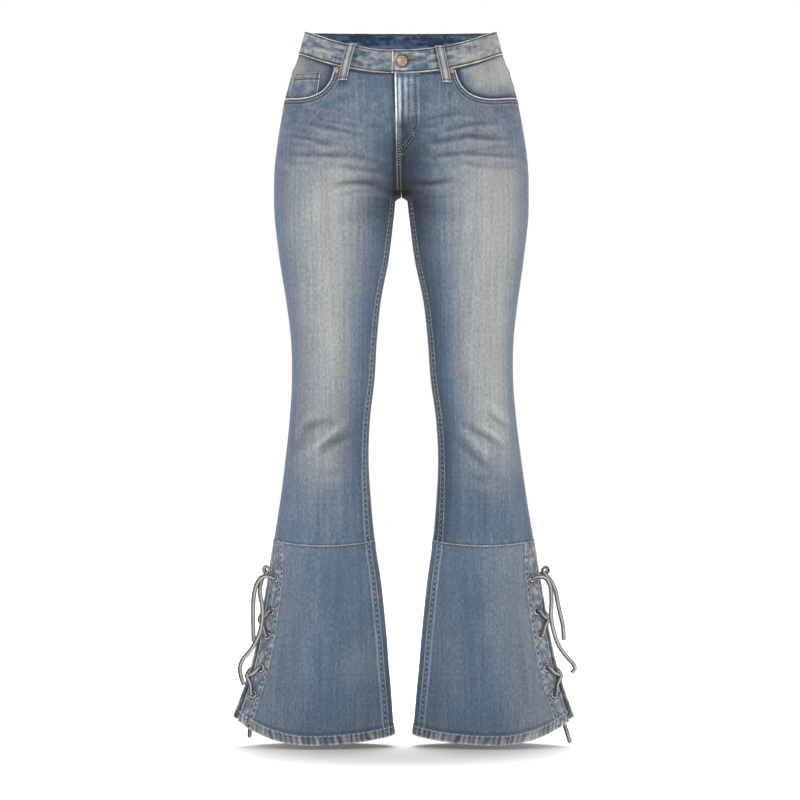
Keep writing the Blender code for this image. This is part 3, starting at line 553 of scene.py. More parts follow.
def ventTurn(t, front):
    quick, slow = lacing["frontOpen"] if front else lacing["backOpen"]
    opened = lacing["ventHalf"] + quick * np.minimum(1.0, t / lacing["ventTop"]) + slow * t
    return cut["sideSeam"] + (opened if front else -opened)


def walk(side, t, distance, front):
    # turn reached after each distance along the cloth from the vent's edge, at every row t
    t = np.atleast_1d(np.asarray(t, float))
    turns = ventTurn(t, front)[:, None] + np.arange(0.0, 181.0, 0.5) * (1 if front else -1)
    gone = lengthAlong(legPoint(side, flareHeight(t[:, None], turns), turns), axis=1)
    distance = np.atleast_1d(distance)
    return np.array([np.interp(distance, r, a) for r, a in zip(gone, turns)])


def flarePoint(side, t, turn):
    z = flareHeight(t, turn)
    return Vector(legPoint(side, z, turn)), Vector(legNormal(side, z, turn))


def bandPoint(side, t, inset, front):
    return flarePoint(side, t, walk(side, t, inset, front)[0, 0])[0]


def eyeletPlace(side, t, front):
    near, far = (bandPoint(side, t, lacing["inset"] + s * lacing["flat"], front) for s in (-1, 1))
    above = bandPoint(side, t - lacing["reach"], lacing["inset"] - lacing["flat"], front)
    below = bandPoint(side, t + lacing["reach"], lacing["inset"] - lacing["flat"], front)
    normal = (far - near).cross(below - above).normalized()
    middle = (near + far) / 2
    if normal.dot(middle - Vector((side * float(sectionAt(middle.z)[1]), 0.0, middle.z))) < 0:
        normal.negate()
    return middle, normal


def lacingRoute(side, front, over):
    # from eyelet to eyelet: out and in through the holes, across the vent outside and behind
    points = []
    inward = -1
    for k, t in enumerate(lacing["steps"]):
        middle, normal = eyeletPlace(side, t, front)
        first, last = (lacing["above"], lacing["behind"])[::-inward]
        points += [middle + normal * out for out in (first, lacing["inHole"], last)]
        if k == len(lacing["steps"]) - 1:
            break
        after = lacing["steps"][k + 1]
        half = (t + after) / 2
        edges = [flarePoint(side, half, ventTurn(half, f))[0] for f in (True, False)]
        middle = (edges[0] + edges[1]) / 2
        outer = max(abs(edge.x) for edge in edges)
        if inward < 0:
            behind = lacing["overIn"] if over else lacing["underIn"]
            points.append(Vector((side * (outer - behind), middle.y, middle.z)))
        else:
            for share, which in ((0.28, front), (0.5, None), (0.72, not front)):
                if which is None:
                    reach = lacing["overOut"] if over else lacing["underOut"]
                    points.append(Vector((side * (outer + reach), middle.y, middle.z)))
                    continue
                step = t + (after - t) * share
                point, normal = flarePoint(side, step, walk(side, step, lacing["beside"], which)[0, 0])
                points.append(point + normal * (3.2 if over else 2.2))
        front = not front
        inward = -inward
    return points


def through(points, step):
    # points every step or so along a smooth curve through the given ones
    ends = [points[0] * 2 - points[1]] + list(points) + [points[-1] * 2 - points[-2]]
    curve = [points[0]]
    for a, b, c, d in zip(ends, ends[1:], ends[2:], ends[3:]):
        ta, tb, tc = (max(0.1, (q - p).length) ** 0.5 for p, q in ((a, b), (b, c), (c, d)))
        m1 = ((b - a) / ta - (c - a) / (ta + tb) + (c - b) / tb) * tb
        m2 = ((c - b) / tb - (d - b) / (tb + tc) + (d - c) / tc) * tb
        count = max(1, round((c - b).length / step))
        for t in (k / count for k in range(1, count + 1)):
            curve.append(
                b * (1 + 2 * t) * (1 - t) ** 2 + m1 * t * (1 - t) ** 2
                + c * t * t * (3 - 2 * t) + m2 * t * t * (t - 1)
            )
    return curve


def smoothLine(places, step):
    # x and z of points along a smooth curve through the given ones
    curve = through([Vector((x, 0.0, z)) for x, z in places], step)
    return np.array([(p.x, p.z) for p in curve])


def gridPiece(name, cols, rows):
    # a flat grid, with the column and row of each vertex and of each corner of a face
    deselect()
    bpy.ops.mesh.primitive_grid_add(x_subdivisions=cols, y_subdivisions=rows, size=1)
    piece = bpy.context.object
    piece.name = piece.data.name = name
    mesh = piece.data
    place = np.empty(len(mesh.vertices) * 3)
    mesh.vertices.foreach_get("co", place)
    place = place.reshape(-1, 3)
    mesh.uv_layers[0].name = "cloth"
    flat = np.empty(len(mesh.loops) * 2)
    mesh.uv_layers[0].data.foreach_get("uv", flat)
    flat = flat.reshape(-1, 2)
    ofVertex = np.rint((place[:, 0] + 0.5) * cols), np.rint((0.5 - place[:, 1]) * rows)
    ofCorner = np.rint(flat[:, 0] * cols), np.rint((1 - flat[:, 1]) * rows)
    return piece, *(k.astype(int) for k in ofVertex + ofCorner)


def addField(mesh, name, values):
    made = mesh.attributes.new(name, "FLOAT", "POINT")
    made.data.foreach_set("value", values.astype(np.float32))


def finishPiece(piece, slot, *nodes):
    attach(piece, "root")
    if nodes:
        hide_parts(*nodes)
    return piece


def ways(points, along, facing):
    # the way across a flat cord at each point, its broad face turned towards a given way
    here = Vector(along[0]).orthogonal().normalized()
    if facing:
        here = Vector(along[0]).cross(facing(points[0])).normalized()
    across = np.empty_like(along)
    for k, point in enumerate(points):
        tangent = Vector(along[k])
        here = (here - tangent * here.dot(tangent)).normalized()
        if facing:
            want = tangent.cross(facing(point))
            much = want.length
            want *= math.copysign(1.0, want.dot(here))
            here = (here + want * 0.6 * much).normalized()
        across[k] = here
    return across


def closeEnds():
    bpy.ops.mesh.select_all(action="DESELECT")
    bpy.ops.mesh.select_non_manifold(
        extend=False, use_wire=False, use_multi_face=False, use_non_contiguous=False, use_verts=False)
    bpy.ops.mesh.edge_face_add()


def tube(name, points, wide, thick, material, rings=16, facing=None, ends=True, squeeze=1.0, fields=None):
    # a flattened cord: a sheet of points is rolled round the line and closed in edit mode
    count = len(points)
    piece, around, row, cornerAround, cornerRow = gridPiece(name, rings, count - 1)
    mesh = piece.data
    line = np.array([tuple(p) for p in points])
    along = np.gradient(line, axis=0)
    along /= np.linalg.norm(along, axis=1, keepdims=True)
    across = ways(points, along, facing)
    up = np.cross(along, across)
    length = lengthAlong(line)
    thin = np.ones(count)
    if ends:  # blunt ends, a little drawn in
        thin = 0.80 + 0.20 * soft(np.minimum(length, length[-1] - length) / (0.35 * wide))
    thin = (thin * squeeze)[row]
    angle = 2 * math.pi * around / rings
    co = line[row] + across[row] * (np.cos(angle) * wide / 2 * thin)[:, None]
    co = co + up[row] * (np.sin(angle) * thick / 2 * thin)[:, None]
    mesh.vertices.foreach_set("co", (co * mm).ravel())
    girth = (wide + thick) * math.pi / 2
    flat = np.stack([cornerAround / rings * girth, length[cornerRow]], 1) * mm
    mesh.uv_layers[0].data.foreach_set("uv", flat.ravel())
    stripe = {"fade": 0.04 + 0.80 * held(np.cos(2 * angle - 2.7)) ** 6}  # painted highlight: a pale stripe down each face
    for field, values in (fields or stripe).items():
        addField(mesh, field, np.broadcast_to(values, angle.shape))
    editAll(
        (bpy.ops.mesh.remove_doubles, {"threshold": 0.00001}), (closeEnds, {}),
        (bpy.ops.mesh.normals_make_consistent, {"inside": False}))
    bpy.ops.object.shade_smooth_by_angle(angle=math.radians(50.0))
    mesh.materials.append(material)
    return piece


def lacePiece(name, points, node, facing, **shape):
    piece = tube(name, points, lacing["wide"], lacing["thick"], laceCord, facing=facing, **shape)
    return finishPiece(piece, "lace_cord", node)


def freeEnd(name, points, node):
    piece = lacePiece(name, points, node, lambda point: Vector((0.0, -1.0, 0.0)))
    length = sum((b - a).length for a, b in zip(points, points[1:]))
    [tuple(p * mm) for p in points]


def makeLace(leg, side, face):
    front = face == "front"
    route = lacingRoute(side, front, front)
    tail = [Vector(p) for p in lacing["tails"][leg, face]]
    if front:
        low = [Vector(p) for p in lacing["tails"][leg, "low"]]
    else:
        low = [
            route[-1] + Vector((side * -3.0, 2.0, -lacing["shortEnd"] / 2)),
            route[-1] + Vector((side * -5.0, 4.0, -lacing["shortEnd"]))]
    line = through(tail[::-1] + route + low, lacing["step"])
    # the free ends start where the lace leaves its first and last eyelets
    top, foot = (min(range(len(line)), key=lambda k: (line[k] - end).length) for end in (route[0], route[-1]))
    holes = [eyeletPlace(side, t, front == (k % 2 == 0))[0] for k, t in enumerate(lacing["steps"])]
    middle = line[top:foot + 1] if front else line[top:]
    near = np.array([min((p - h).length for h in holes) for p in middle])
    squeeze = 0.78 + 0.22 * soft((near - 2.0) / 6.0)

    def outOfLeg(point):
        return Vector((side * 0.6, -1.0 if point.y < 6.0 else 1.0, 0.0)).normalized()

    node = f"lace_{face}_{leg.lower()}"
    name = f"lace{face.title()}{leg}"
    lacePiece(name, middle, node, outOfLeg, ends=False, squeeze=squeeze)
    freeEnd(name + "Tail", line[top::-1], node)
    if front:
        freeEnd(name + "End", line[foot:], node)


stage("laces")
for leg, side in legs.items():
    for face in ("front", "back"):
        makeLace(leg, side, face)


# cloth pieces

plumb = {"at": 108.0, "near": 4.0, "rows": 13}  # the line that the warp threads follow


def straightGrain(side, points, across):
    # distance round the leg from a plumb line down its middle, evened out over some rows
    off = side * points[..., 0] - plumb["at"]
    nearest = np.abs(off).argmin(axis=1)
    here = np.arange(len(nearest))
    slack = off[here, nearest]
    zero = across[here, nearest] + np.where(np.abs(slack) < plumb["near"], slack, 0.0)
    rows = plumb["rows"]
    zero = np.convolve(np.pad(zero, rows // 2, mode="edge"), np.ones(rows) / rows, mode="valid")
    return across - zero[:, None]


def layOut(side, turn, z):
    # a grid of cloth on the legs, with its distances from each border and its colour fields
    side, turn, z = np.broadcast_arrays(side, np.asarray(turn, float), np.asarray(z, float))
    points = legPoint(side, z, turn)
    across, down = lengthAlong(points, axis=1), lengthAlong(points, axis=0)
    plain = np.zeros(z.shape)
    return SimpleNamespace(
        side=side, z=z, x=points[..., 0], points=points, normals=legNormal(side, z, turn),
        start=across, end=across[:, -1:] - across, top=down, low=down[-1:] - down,
        u=straightGrain(side, points, across),
        # the multiplier on the colour holds painted shade and painted highlight, with some tone that varies
        # at random
        lift=plain, fade=plain.copy(), tone=plain + 1.0, wear=plain.copy(),
    )


def drawIn(cloth, gap=cut["gap"], borders=("top", "low", "start", "end")):
    # the piece stops a little short of its neighbours
    for border in borders:
        points = cloth.points if border in ("top", "low") else np.swapaxes(cloth.points, 0, 1)
        edge, inner = (0, 1) if border in ("top", "start") else (-1, -2)
        step = points[inner] - points[edge]
        points[edge] += step / np.linalg.norm(step, axis=1, keepdims=True) * gap


def faceOf(cloth, out=0.0):
    # the cloth's outer face
    return cloth.points + cloth.normals * (cloth.lift + out)[..., None]


def fieldsOnto(piece, cloth):
    # fade, tone and wear go to each vertex from the nearest point of the cloth's outer face
    tree = KDTree(cloth.z.size)
    for k, point in enumerate(faceOf(cloth).reshape(-1, 3) * mm):
        tree.insert(point, k)
    tree.balance()
    nearest = np.array([tree.find(v.co)[1] for v in piece.data.vertices])
    for name in ("fade", "tone", "wear"):
        addField(piece.data, name, getattr(cloth, name).ravel()[nearest])


def applyModifier(piece, kind, **settings):
    made = piece.modifiers.new(kind.lower(), kind)
    for name, value in settings.items():
        setattr(made, name, value)
    bpy.ops.object.modifier_apply(modifier=made.name)


def clothPiece(
        name, cloth, slot, thick=cut["cloth"], outside=outerDenim, inside=innerDenim, edge=0.3, cutter=None):
    # a grid laid out on the legs, given its thickness, a rounded edge and its openings
    rows, cols = (n - 1 for n in cloth.z.shape)
    piece, col, row, cornerCol, cornerRow = gridPiece(name, cols, rows)
    mesh = piece.data
    mesh.vertices.foreach_set("co", (faceOf(cloth)[row, col] * mm).ravel())
    flat = np.stack([cloth.u[cornerRow, cornerCol], cloth.z[cornerRow, cornerCol]], 1) * mm
    mesh.uv_layers[0].data.foreach_set("uv", flat.ravel())
    mesh.update()
    face = mesh.polygons[len(mesh.polygons) // 2]
    corner = face.vertices[0]
    if face.normal.dot(Vector(cloth.normals[row[corner], col[corner]])) < 0:
        editAll((bpy.ops.mesh.flip_normals, {}))
    mesh.materials.append(outside)
    mesh.materials.append(inside)
    applyModifier(piece, "SOLIDIFY", thickness=thick * mm, offset=-1.0, material_offset=1)
    applyModifier(
        piece, "BEVEL", width=edge * mm, segments=2, limit_method="ANGLE",
        angle_limit=math.radians(62.0), use_clamp_overlap=True,
    )
    if cutter:
        applyModifier(piece, "BOOLEAN", operation="DIFFERENCE", solver="EXACT", object=cutter)
        bpy.data.objects.remove(cutter, do_unlink=True)
    bpy.ops.object.shade_smooth_by_angle(angle=math.radians(50.0))
    fieldsOnto(piece, cloth)
    return finishPiece(piece, slot)


def asSheet(piece, cloth, node):
    # the flat cut of what shows: widest across, longest down, and its area
    points = cloth.points
    wide = cloth.start[:, -1].max() * mm
    long = cloth.top[-1].max() * mm
    a, b = points[1:, :-1] - points[:-1, :-1], points[:-1, 1:] - points[:-1, :-1]
    area = np.linalg.norm(np.cross(a, b), axis=2).sum() * mm * mm
    area = min(max(area, 0.31 * wide * long), wide * long)
    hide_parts(node)


def nearLine(x, z, line):
    # distance to a line of x and z, and which of its points is nearest
    gap = np.hypot(x[..., None] - line[:, 0], z[..., None] - line[:, 1])
    return gap.min(axis=-1), gap.argmin(axis=-1)


def lap(cloth, distance, along, seed, wide=10.5, rise=0.75, rough=0.35, pale=0.45, dark=0.2):
    # a folded and topstitched seam edge: raised, puckered, worn on its ridges, with painted shade beside it
    # and in its dips
    pucker = uneven(along, 6.5, seed) * 0.6 + uneven(along, 3.4, seed + 1) * 0.4
    cloth.lift += rise * (1 - soft((distance - wide) / 1.6))
    cloth.lift += rough * pucker * hump(distance, wide * 0.5, wide)
    patch = 0.55 + 0.45 * uneven(along, 9.0, seed + 2)
    cloth.wear += pale * patch * (hump(distance, 0.4, 1.3) + 0.7 * hump(distance, wide - 0.3, 1.0))
    cloth.wear += pale * 0.35 * held(pucker) * hump(distance, wide * 0.5, wide * 0.5)
    cloth.tone *= 1 - dark * hump(distance, wide + 2.0, 1.6)
    cloth.tone *= 1 - dark * 0.6 * held(-pucker) * hump(distance, wide * 0.5, wide * 0.8)


def crease(cloth, line, depth, wide, dark, pale, seed):
    # a soft trough along a line of x and z, darkened with painted shade, with a paler ridge under it; with
    # values below zero it is a raised ridge with a painted highlight
    curve = smoothLine(line, 2.0)
    middle, reach = curve.mean(axis=0), np.ptp(curve, axis=0) / 2 + wide * 4
    near = (np.abs(cloth.x - middle[0]) < reach[0]) & (np.abs(cloth.z - middle[1]) < reach[1])
    if not near.any():
        return
    far, k = nearLine(cloth.x[near], cloth.z[near], curve)
    along = k / (len(curve) - 1)
    ends = np.sin(math.pi * np.clip(along, 0.02, 0.98)) ** 0.7
    reach = wide * (1 + 0.25 * uneven(along * 100.0, 22.0, seed))
    below = np.sign(curve[k, 1] - cloth.z[near]) * far
    trough, ridge = hump(far, 0.0, reach), hump(below, 1.7 * reach, 0.9 * reach)
    cloth.lift[near] -= depth * ends * (trough - 0.4 * ridge)
    cloth.tone[near] *= 1 - dark * ends * trough
    cloth.fade[near] += pale * ends * ridge


wash = {  # how far the colour is gone, by the share of a leg's width and by the way down it
    "steps": (0.04, 0.12, 0.21, 0.29, 0.37, 0.46, 0.54, 0.63, 0.71, 0.79, 0.88, 0.96),
    "left": (0, 0.04, 0.20, 0.44, 0.72, 0.93, 0.98, 0.95, 0.82, 0.62, 0.38, 0.08),
    "right": (0, 0, 0.04, 0.24, 0.52, 0.76, 0.92, 1, 1.04, 1.0, 0.78, 0.24),
    "down": (
        (60, 126, 155, 192, 221, 280, 478, 552, 596, 640, 699, 743, 761),
        (0.14, 0.14, 0.32, 0.54, 0.90, 1, 0.96, 0.86, 0.88, 0.70, 0.20, 0.05, 0.02)),
    "backAcross": ((0.10, 0.3, 0.55, 0.8, 0.98), (0, 0.6, 1, 0.6, 0)),
    "backDown": (
        (60, 140, 200, 260, 330, 480, 600, 700, 761),
        (0.30, 0.48, 0.70, 0.64, 0.46, 0.46, 0.36, 0.16, 0)),
    # creaseDark scales the painted shade in the creases, front and back; creasePale scales their paler ridges
    "creaseDark": {"front": 1.5, "back": 2.1}, "creasePale": 1.7,
}


def mottled(cloth, cellX, cellZ, seed):
    return blotch(cloth.x + 400, cloth.z + 1200, cellX, cellZ, seed)


def washAndShade(cloth, front):
    # wash fade by place on the legs, with painted shade where the legs turn in and meet
    x, z, right = cloth.x, cloth.z, cloth.side > 0
    depth = -z
    outer, _, inner, _, _, _, sway = sectionAt(z)
    inner = np.maximum(inner, 0.0)
    q = (np.abs(x - sway) - inner) / (outer - inner)
    if front:
        across = np.where(right, *(np.interp(q, wash["steps"], wash[leg]) for leg in ("right", "left")))
        down = np.interp(depth, *wash["down"])
        cloth.fade += 0.02 + across * down * (1 - right * 0.35 * soft((depth - 620) / 60))
        cloth.fade += 0.16 * hump(z, -120.0, 18.0) * hump(x, 62.0 * cloth.side, 34.0)
        cloth.fade += 0.17 * mottled(cloth, 10, 6, 13) * (1 - soft((depth - 200) / 50))
        cloth.tone *= 1 - np.where(right, 0.08 * soft((depth - 640) / 60), 0.12 * hump(z, -600.0, 46.0))
        # painted shade down the inner side of the right leg
        cloth.tone *= 1 - right * 0.52 * (1 - soft(q / 0.30)) * soft((depth - 60) / 60)
    else:
        across = np.interp(q, *wash["backAcross"])
        cloth.fade += 0.06 + across * np.interp(depth, *wash["backDown"])
        cloth.fade += 0.5 * soft((q - 0.80) / 0.18) * soft((z + 128) / 34)
    seed = 11 if front else 23
    cloth.fade += 0.06 * mottled(cloth, 34, 52, seed) * (0.3 + across)
    # darker round the crotch, with painted shade round the gap between the legs
    crotch = hump(x, 0, 48) * soft((depth - 120) / 90) * (1 - soft((depth - 262) / 70))
    cloth.tone *= 1 - 0.54 * crotch - 0.34 * hump(np.hypot(x, 0.8 * (z + 247)), 0.0, 15.0)
    cloth.tone *= 1 + 0.05 * mottled(cloth, 16, 22, seed + 1)


creases = {
    "front": (  # line of x and z, depth, half width, how dark (painted shade in the trough; below zero, a painted highlight on a raised ridge), how pale
        (((-164, -137), (-143, -142), (-108, -151), (-76, -159), (-46, -167)), 0.8, 3.4, 0.24, 0.14),
        (((-129, -137), (-105, -142), (-82, -146), (-58, -151)), 0.5, 3.0, 0.17, 0.10),
        (((-85, -134), (-62, -139), (-38, -147)), 0.4, 3.0, 0.12, 0.08),
        (((-176, -158), (-155, -162), (-134, -167), (-114, -173), (-82, -177)), 0.9, 3.8, 0.27, 0.16),
        (
            ((-179, -184), (-149, -189), (-105, -192), (-67, -193), (-46, -199), (-23, -205)),
            0.9, 4.0, 0.28, 0.12),
        (((-105, -206), (-70, -211), (-40, -214), (-15, -219)), 0.7, 3.6, 0.20, 0.12),
        (((-103, -238), (-82, -232), (-61, -231), (-40, -233), (-19, -239)), 1.4, 4.4, 0.37, 0.16),
        (((-96, -250), (-61, -244), (-28, -241)), 0.5, 3.0, 0.12, 0.06),
        (((42, -137), (65, -134), (90, -129)), 0.5, 3.2, 0.17, 0.10),
        (((54, -157), (80, -152), (106, -146), (147, -143)), 0.8, 3.4, 0.24, 0.14),
        (((32, -176), (57, -171), (80, -168), (101, -164), (130, -166), (172, -167)), 1.1, 3.8, 0.34, 0.20),
        (((100, -186), (136, -180), (162, -176)), 0.5, 2.8, 0.12, 0.06),
        (((34, -194), (57, -193), (86, -189), (115, -190), (148, -191), (180, -188)), 0.9, 3.8, 0.27, 0.14),
        (((80, -203), (115, -207), (154, -208), (176, -205)), 0.6, 3.4, 0.14, 0.20),
        (((10, -229), (36, -232), (60, -230), (79, -228)), 1.4, 4.4, 0.37, 0.14),
        (((16, -246), (50, -252), (84, -250)), 0.5, 3.4, 0.10, 0.06),
        (((18, -262), (58, -276), (104, -280)), 0.9, 9.0, 0.08, 0.04),
        (((-20, -266), (-62, -280), (-110, -286)), 0.9, 9.0, 0.08, 0.04),
        (((-150, -596), (-130, -587), (-115, -583), (-95, -581)), 1.2, 6.0, 0.26, 0.08),
        (((-147, -638), (-130, -623), (-110, -606), (-93, -591), (-80, -578)), -1.0, 5.0, -0.24, 0.0),
        (((-160, -607), (-147, -587), (-129, -566)), -0.7, 4.0, -0.19, 0.0),
        (((-122, -626), (-105, -615), (-90, -607), (-72, -598)), 1.2, 6.0, 0.27, 0.05),
        (((-160, -632), (-148, -612), (-140, -600)), 0.6, 6.0, 0.15, 0.0),
        (((-128, -654), (-108, -660), (-84, -656)), 0.6, 6.0, 0.08, 0.08),
        (((92, -582), (110, -596), (128, -606), (147, -617)), 1.1, 5.0, 0.19, 0.0),
        (((83, -591), (101, -606), (118, -621), (136, -634)), -1.0, 5.0, -0.24, 0.0),
        (((78, -603), (98, -623), (113, -638), (132, -652)), 1.2, 6.0, 0.20, 0.05),
        (((125, -568), (142, -581), (160, -593)), 0.8, 4.6, 0.18, 0.0),
        (((118, -586), (137, -603), (151, -612)), -0.6, 4.0, -0.15, 0.0),
        (((128, -552), (146, -570), (163, -588)), -0.6, 4.4, -0.15, 0.0),
        (((98, -660), (118, -668), (142, -664)), 0.6, 6.0, 0.08, 0.08),
        (((-122, -664), (-118, -708), (-126, -750)), 0.9, 12.0, 0.06, 0.0),
        (((118, -672), (124, -710), (116, -750)), 0.9, 12.0, 0.06, 0.0),
        (((-88, -330), (-84, -400), (-92, -470)), 0.6, 14.0, 0.04, 0.0),
        (((92, -338), (96, -410), (90, -480)), 0.6, 14.0, 0.04, 0.0),
    ),
    "back": (
        (((-150, -258), (-104, -270), (-50, -262)), 1.6, 8.0, 0.16, 0.10),
        (((-140, -282), (-98, -290), (-58, -282)), 1.0, 8.0, 0.10, 0.08),
        (((152, -262), (100, -273), (46, -264)), 1.6, 8.0, 0.16, 0.10),
        (((134, -288), (96, -296), (62, -288)), 1.0, 8.0, 0.10, 0.08),
        (((-22, -214), (-52, -232)), 0.9, 7.0, 0.12, 0.08),
        (((22, -212), (54, -230)), 0.9, 7.0, 0.12, 0.08),
        (((-152, -560), (-110, -574), (-74, -566)), 1.4, 8.0, 0.14, 0.12),
        (((-148, -584), (-112, -598), (-76, -592)), 1.2, 8.0, 0.12, 0.12),
        (((-150, -610), (-116, -622), (-82, -612)), 0.9, 7.0, 0.10, 0.10),
        (((150, -566), (116, -580), (78, -570)), 1.4, 8.0, 0.14, 0.12),
        (((154, -592), (118, -604), (84, -596)), 1.2, 8.0, 0.12, 0.12),
        (((146, -616), (114, -628), (80, -622)), 0.9, 7.0, 0.10, 0.10),
        (((-112, -330), (-106, -400), (-114, -466)), 0.8, 14.0, 0.05, 0.0),
        (((110, -322), (116, -396), (108, -470)), 0.8, 14.0, 0.05, 0.0),
        (((-124, -660), (-118, -706), (-124, -750)), 0.9, 12.0, 0.06, 0.0),
        (((122, -656), (128, -702), (120, -748)), 0.9, 12.0, 0.06, 0.0),
    ),
}


def addCreases(cloth, face):
    for k, (line, depth, wide, dark, pale) in enumerate(creases[face]):
        crease(cloth, line, depth, wide, dark * wash["creaseDark"][face], pale * wash["creasePale"], 40 + k)


# stitches: one is modelled, and its copies follow each seam

sewing = {"proud": 0.14, "mark": (2.0, 1.15, -0.12)}  # the dark needle mark's length, width and height; its darkness is painted shade in the needle hole


def shapeOfStitch():
    # points and faces of a small rounded rod along x
    deselect()
    bpy.ops.mesh.primitive_uv_sphere_add(
        segments=5, ring_count=3, radius=0.5, rotation=(0.0, math.pi / 2, 0.0))
    made = bpy.context.object
    bpy.ops.object.transform_apply(location=True, rotation=True, scale=True)
    points = np.array([tuple(v.co) for v in made.data.vertices])
    faces = [tuple(f.vertices) for f in made.data.polygons]
    bpy.data.objects.remove(made, do_unlink=True)
    return points, faces


stitchPoints, stitchFaces = shapeOfStitch()


def settleOn(piece, points):
    # nearest places on a piece's face, with the way out of the cloth and the way along the line
    tree = BVHTree.FromObject(piece, bpy.context.evaluated_depsgraph_get())
    found = [tree.find_nearest(Vector(point) * mm)[:2] for point in points]
    spots, normals = (np.array([tuple(part) for part in parts]) for parts in zip(*found))
    spots = spots / mm
    return spots, normals, np.gradient(spots, axis=0)


def evenly(points, pitch):
    points = np.asarray(points, float)
    length = lengthAlong(points)
    at = np.linspace(0.0, length[-1], max(2, int(length[-1] / pitch) + 1))
    return np.stack([np.interp(at, length, points[:, k]) for k in range(3)], 1)


class Seams:
    # gathers the stitches of one thread, then makes them one piece
    def __init__(self, name, material):
        self.name, self.material, self.made = name, material, []

    def row(self, piece, points, pitch=4.2, length=3.0, thick=0.82, marks=True):
        # a line of stitches, with a dark needle mark between each two, painted shade in the needle hole
        if len(points) < 2:
            return
        placed = settleOn(piece, evenly(points, pitch / 2))
        self.put(*(part[::2] for part in placed), length, thick, sewing["proud"])
        if marks:
            shadeMarks.put(*(part[1::2] for part in placed), *sewing["mark"])

    def put(self, spots, normals, along, length, thick, proud):
        along = along / np.maximum(np.linalg.norm(along, axis=1, keepdims=True), 1e-6)
        side = np.cross(normals, along)
        side /= np.maximum(np.linalg.norm(side, axis=1, keepdims=True), 1e-6)
        ways = np.stack([along, side, np.cross(along, side)], 1)
        shape = stitchPoints * (length, thick, thick)
        self.made.append(((spots + normals * proud)[:, None] + shape @ ways).reshape(-1, 3))

    def bar(self, piece, middle, way, long, wide=1.6):
        # a bartack: close stitches side by side across a short line
        way = np.array(way, float)
        way /= np.linalg.norm(way)
        line = middle + way * np.arange(-long / 2, long / 2 + 0.01, 0.62)[:, None]
        spots, normals, _ = settleOn(piece, line)
        self.put(spots, normals, np.cross(normals, way), wide, 0.8, 0.3)

    def finish(self):
        points = np.concatenate(self.made) * mm
        step = len(stitchPoints)
        faces = [tuple(i + k for i in f) for k in range(0, len(points), step) for f in stitchFaces]
        mesh = bpy.data.meshes.new(self.name)
        mesh.from_pydata([tuple(p) for p in points], [], faces)
        mesh.shade_smooth()
        mesh.materials.append(self.material)
        piece = bpy.data.objects.new(self.name, mesh)
        bpy.context.scene.collection.objects.link(piece)
        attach(piece, "root")
        stage(f"{self.name}: {len(points) // step} stitches")


tanSeams = Seams("tanStitches", tanThread)
hemSeams = Seams("hemStitches", hemThread)
blueSeams = Seams("greyStitches", blueThread)
rustSeams = Seams("rustStitches", rustThread)
# dark marks that are painted shade
shadeMarks = Seams("shadeMarks", shadeMarkPaint)


def seamLine(cloth, key, distance, out=2.0):
    # points at one distance from a border of a cloth piece, a little off its face
    shaped, away = faceOf(cloth, out), getattr(cloth, key)
    if key in ("top", "low"):
        shaped, away = np.swapaxes(shaped, 0, 1), away.T
    line = []
    for points, gaps, want in zip(shaped, away, np.broadcast_to(distance, len(shaped))):
        if gaps[0] > gaps[-1]:
            points, gaps = points[::-1], gaps[::-1]
        if gaps[-1] >= want:
            line.append([np.interp(want, gaps, points[:, k]) for k in range(3)])
    return np.array(line)


def felled(piece, cloth, centre, half, below=0.0):
    # a felled seam: two pale rows, with a row of deep dimples, dark as painted shade, and pale knots between
    # them
    rows = [seamLine(cloth, "end", centre + shift) for shift in (-half, half, 0.0)]
    *outer, middle = (line[line[:, 2] < below] for line in rows)
    for line in outer:
        blueSeams.row(piece, line, pitch=6.4, length=5.8, thick=1.25, marks=False)
    spots, normals, along = settleOn(piece, evenly(middle, 4.0))
    sway = uneven(np.arange(len(spots)), 1.3, len(spots))[:, None] * 0.5
    spots = spots + np.cross(normals, along / 4.0) * sway
    for first, long, thick in ((0, 5.0, 3.4), (2, 3.6, 2.5), (4, 4.6, 3.0)):
        shadeMarks.put(spots[first::6], normals[first::6], along[first::6], long, thick, -0.72)
    hemSeams.put(spots[1::2], normals[1::2], along[1::2], 2.6, 1.8, -0.35)


def inFromEdge(cloth, shown):
    # distance from the inseam's edge at which each row lies a given way inside the silhouette
    _, _, inner, _, _, _, sway = sectionAt(cloth.z)
    inside = np.abs(cloth.x - sway) - inner
    return np.array([np.interp(want, a[::-1], e[::-1]) for want, a, e in zip(shown, inside, cloth.end)])


# front and back panels, yokes

loopSpans = ((-71.5, -85.5), (56.0, 67.0))  # front belt loops, x at the upper and lower end
panels = {"columns": 90, "rows": 296, "backRows": 204, "backColumns": 66, "yokeRows": 30, "backTop": -90.0}
pockets = {
    "mouth": (
        (78.5, -52), (80.5, -72), (87, -88), (98, -100), (114.5, -107), (133.5, -108.5),
        (152.5, -106), (172, -102.5), (215, -98.5)),
    "leftShift": (18.5, 2.5), "below": 11.0, "depth": 2.3, "cloth": 1.2,
    "rows": (4.4, 8.6), "channels": (2.5, 6.8), "cutFrom": -160.0, "cutDepth": 159.0,
}


def panelGrid(side, front, heightAt, rows, cols, limitAt=None):
    # cloth from the side seam to the middle of the leg, or to another limit
    share = np.linspace(0.0, 1.0, cols + 1)[None, :]
    down = np.linspace(0.0, 1.0, rows + 1)[:, None]
    limitAt = limitAt or (lambda z: middleTurn(z, front))
    turn, z = settle(share, front, lambda turn: heightAt(down, turn), limitAt)
    return layOut(side, turn, z)


def pocketMouth(side):
    out, up = pockets["leftShift"] if side < 0 else (0.0, 0.0)
    return [(side * (x + out), z + up) for x, z in pockets["mouth"]]


def mouthLine(side):
    return smoothLine(pocketMouth(side), 1.0)


